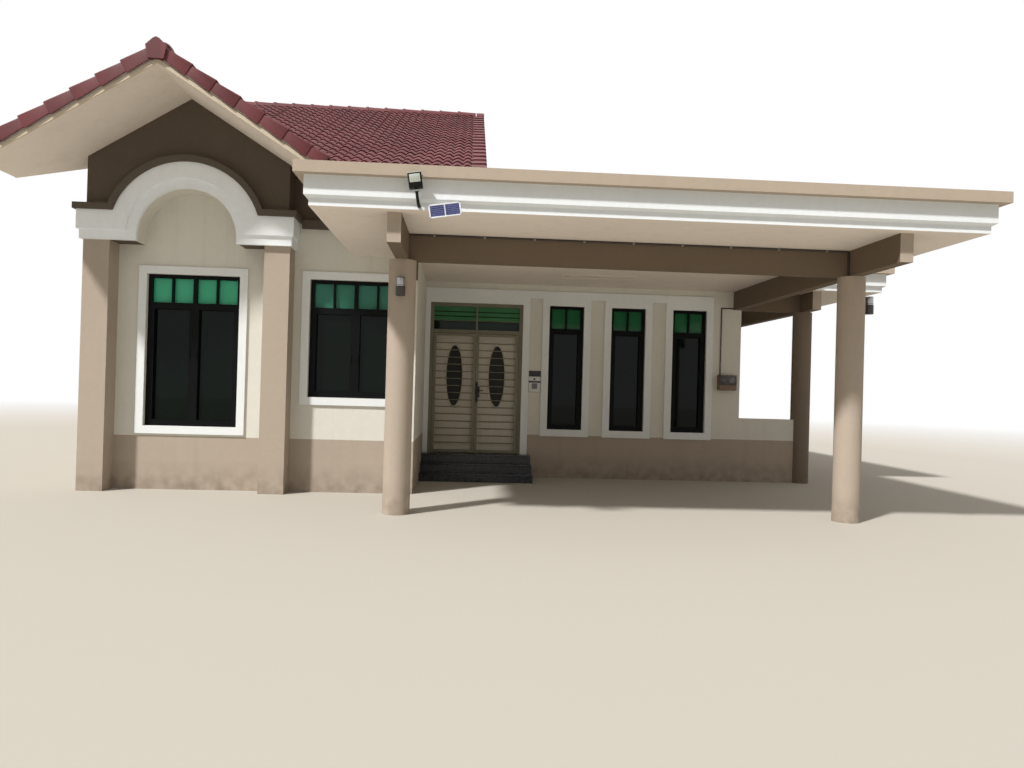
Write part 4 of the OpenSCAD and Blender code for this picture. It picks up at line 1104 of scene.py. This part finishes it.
def plate_details():
    """A bare dark plate over a bare white card, with screws."""
    low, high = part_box("number_plate")
    shape = Shape()
    y = low.y
    mid = middle("number_plate")
    card = high.z - PLATE_STRIP
    foot = card - PLATE_CARD
    shape.box((low.x, y - 0.004, card), (high.x, y + 0.001, high.z), 0.002)
    for top, bottom in ((card - 0.003, foot), (foot - 0.03, low.z + 0.004)):
        shape.box((low.x + 0.004, y - 0.003, bottom), (high.x - 0.004, y + 0.001, top), 0.001, mat=1)
    z = card - PLATE_CARD*0.6
    shape.box((mid - 0.024, y - 0.0036, z - 0.016), (mid + 0.012, y - 0.0026, z + 0.016), 0)
    z = foot - 0.09
    shape.box((mid - 0.05, y - 0.0036, z - 0.049), (mid + 0.046, y - 0.0026, z + 0.049), 0, mat=2)
    for x in (low.x + 0.012, high.x - 0.012):
        shape.lathe([(0, 0.005), (0.003, 0.004)], (x, y - 0.003, high.z - 0.052), TO_FRONT, 12, mat=3)
    shape.piece("plate_face", ["plate_metal", "plate_card", "plate_grey", "steel"], "plate_metal")


def tube_lamp_ends():
    """Lamp holders at both ends of the tube lamp."""
    low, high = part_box("tube_lamp")
    shape = Shape()
    mid = middle("tube_lamp", 1)
    for x0, x1 in ((low.x, low.x + HOLDER), (high.x - HOLDER, high.x)):
        shape.box((x0, mid - HOLDER, low.z - 0.004), (x1, mid + HOLDER, high.z - 0.002), 0.004)
    shape.piece("tube_lamp_ends", ["lamp_white"], "lamp_white")


def conduits():
    """Wiring pipe with clips: along the front beam and down its right end, and up from the meter box."""
    shape = Shape()
    beam_low, beam_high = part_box("front_beam")
    meter_low, meter_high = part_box("meter_box")
    y = beam_low.y - 0.014
    z = beam_high.z - 0.016
    end = beam_high.x - 0.02
    foot = beam_low.z + 0.02
    shape.tube([(beam_low.x + 0.01, y, z), (end, y, z), (end, y, foot)], PIPE_R)
    clips = 9
    first = beam_low.x + 0.3
    for i in range(clips):
        x = first + (beam_high.x - 0.3 - first)*i/(clips - 1)
        shape.box((x - 0.012, y - 0.013, z - 0.014), (x + 0.012, beam_low.y + 0.001, z + 0.013), mat=1)
    x = meter_low.x + 0.05
    wall = meter_high.y
    y = wall - 0.014
    shape.tube([(x, y, meter_high.z - 0.01), (x, y, foot), (meter_high.x + 0.02, y, foot)], PIPE_R)
    for i in range(4):
        z = meter_high.z + 0.2 + i*0.28
        shape.box((x - 0.015, wall - 0.026, z - 0.008), (x + 0.015, wall + 0.001, z + 0.008), mat=1)
    shape.piece("conduits", ["conduit", "steel"], "meter_case")


# The frame's own pieces

NODE_FINISH = {
    "front_wall": "front_paint",
    "gable_arch_wall": "gable_paint",
    "arch_band": "band_painted_light",
    "arch_coping": "coping_paint_and_shade",
    "wall_coping": "coping_paint_and_shade",
    "front_beam": "beam_painted_shade",
    "side_beams": "beam_end_painted_shade",
    "cross_beams": "beam_painted_shade",
    "side_columns": "side_column_painted_shade",
    "cornice": "cornice_paint",
    "bay_bargeboard": "board_paint",
    "main_bargeboards": "board_paint",
    "front_window_glass": "front_glass",
    "slot_window_glass": "slot_glass",
    "flat_roof": "deck_paint",
    "main_roof": "roof_body",
    "bay_roof": "roof_body",
    "transom_glass": "transom_tint",
    "wall_lamps": "lamp_dark",
    "solar_panel": "solar_rim",
}


def dress_frame():
    """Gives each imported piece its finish."""
    slots = {part["node"]: part["material_slot"] for part in frame["record"]["subparts"]}
    for name, node in frame["nodes"].items():
        material = MATERIALS[NODE_FINISH.get(name, slots[name])]
        if not node.material_slots:
            node.data.materials.append(material)
        for place in node.material_slots:
            place.material = material


# Stage, light and camera

def make_stage():
    """A pale floor that fades to the white background far out."""
    mesh = bpy.data.meshes.new("floor")
    bm = bmesh.new()
    bmesh.ops.create_grid(bm, x_segments=8, y_segments=8, size=FLOOR_HALF)
    bm.to_mesh(mesh)
    bm.free()
    floor = add_object("floor", mesh)
    f = Finish("floor_finish", 0.9, 0.1)
    f.colour(rgb(182, 177, 167))
    fade = f.span(f.vector("LENGTH")["Value"], *FLOOR_FADE)
    seen = f.new("LightPath").outputs["Is Camera Ray"]
    white = f.new("Emission").outputs[0]
    both = f.new("MixShader", f.math("MULTIPLY", fade, seen), f.shader.outputs[0], white)
    f.put(both.outputs[0], f.tree.nodes["Material Output"].inputs["Surface"])
    mesh.materials.append(f.material)


def make_light():
    """A soft sun from the front left and a pale surround that is brightest overhead."""
    world = bpy.data.worlds.new("surround")
    SCENE.world = world
    world.use_nodes = True
    w = Nodes(world.node_tree)
    sky = w.tree.nodes["Background"]
    sky.inputs["Color"].default_value = SKY_TINT
    height = w.axis(2, w.new("TexCoord").outputs["Generated"])
    w.put(w.span(height, 0.0, 1.0, SKY_LOW, SKY_HIGH), sky.inputs["Strength"])
    white = w.new("Background")
    white.inputs["Color"].default_value = (1, 1, 1, 1)
    white.inputs["Strength"].default_value = 1.0
    path = w.new("LightPath").outputs
    seen = w.math("MAXIMUM", path["Is Camera Ray"], path["Is Glossy Ray"])
    seen = w.math("MAXIMUM", seen, path["Is Transmission Ray"])
    both = w.new("MixShader", seen, sky.outputs[0], white.outputs[0])
    w.put(both.outputs[0], w.tree.nodes["World Output"].inputs["Surface"])
    lamp = bpy.data.lights.new("soft_sun", "SUN")
    lamp.energy = SUN_STRENGTH
    lamp.angle = SUN_ANGLE
    lamp.color = SUN_TINT
    sun = add_object("soft_sun", lamp)
    sun.rotation_euler = SUN_FROM.to_track_quat("Z", "Y").to_euler()


def make_camera():
    """The camera at the photograph's place and angle."""
    level_right = Vector((math.cos(YAW), -math.sin(YAW), 0))
    level_ahead = Vector((math.sin(YAW), math.cos(YAW), 0))
    ahead = level_ahead*math.cos(TILT) + Vector((0, 0, math.sin(TILT)))
    level_up = -level_ahead*math.sin(TILT) + Vector((0, 0, math.cos(TILT)))
    right = level_right*math.cos(ROLL) + level_up*math.sin(ROLL)
    up = level_up*math.cos(ROLL) - level_right*math.sin(ROLL)
    data = bpy.data.cameras.new("view")
    data.lens = LENS_MM
    data.sensor_width = SENSOR_MM
    data.sensor_fit = "HORIZONTAL"
    data.clip_end = 300
    camera = add_object("view", data)
    columns = (right, up, -ahead)
    turn = Matrix([[c[i] for c in columns] for i in range(3)])
    camera.matrix_world = Matrix.Translation(EYE) @ turn.to_4x4()
    SCENE.camera = camera


def main():
    SCENE.view_settings.view_transform = "Standard"
    make_camera()
    make_materials()
    dress_frame()
    roof = roof_facts()
    for make in (field_tiles, valley_trays, verge_tiles, ridge_caps):
        make(roof)
    window_bars()
    window_handles()
    leaf_panels("leaf_left_beads", "door_glass_left", "door_leaf_left", "leaf_left")
    leaf_panels("leaf_right_beads", "door_glass_right", "door_leaf_right", "leaf_right")
    for make in (gate_lock, lever_handles, transom_bars, step_noses, lamp_details, flood_details,
                 solar_details, meter_details, plate_details, tube_lamp_ends, conduits):
        make()
    make_stage()
    make_light()


main()
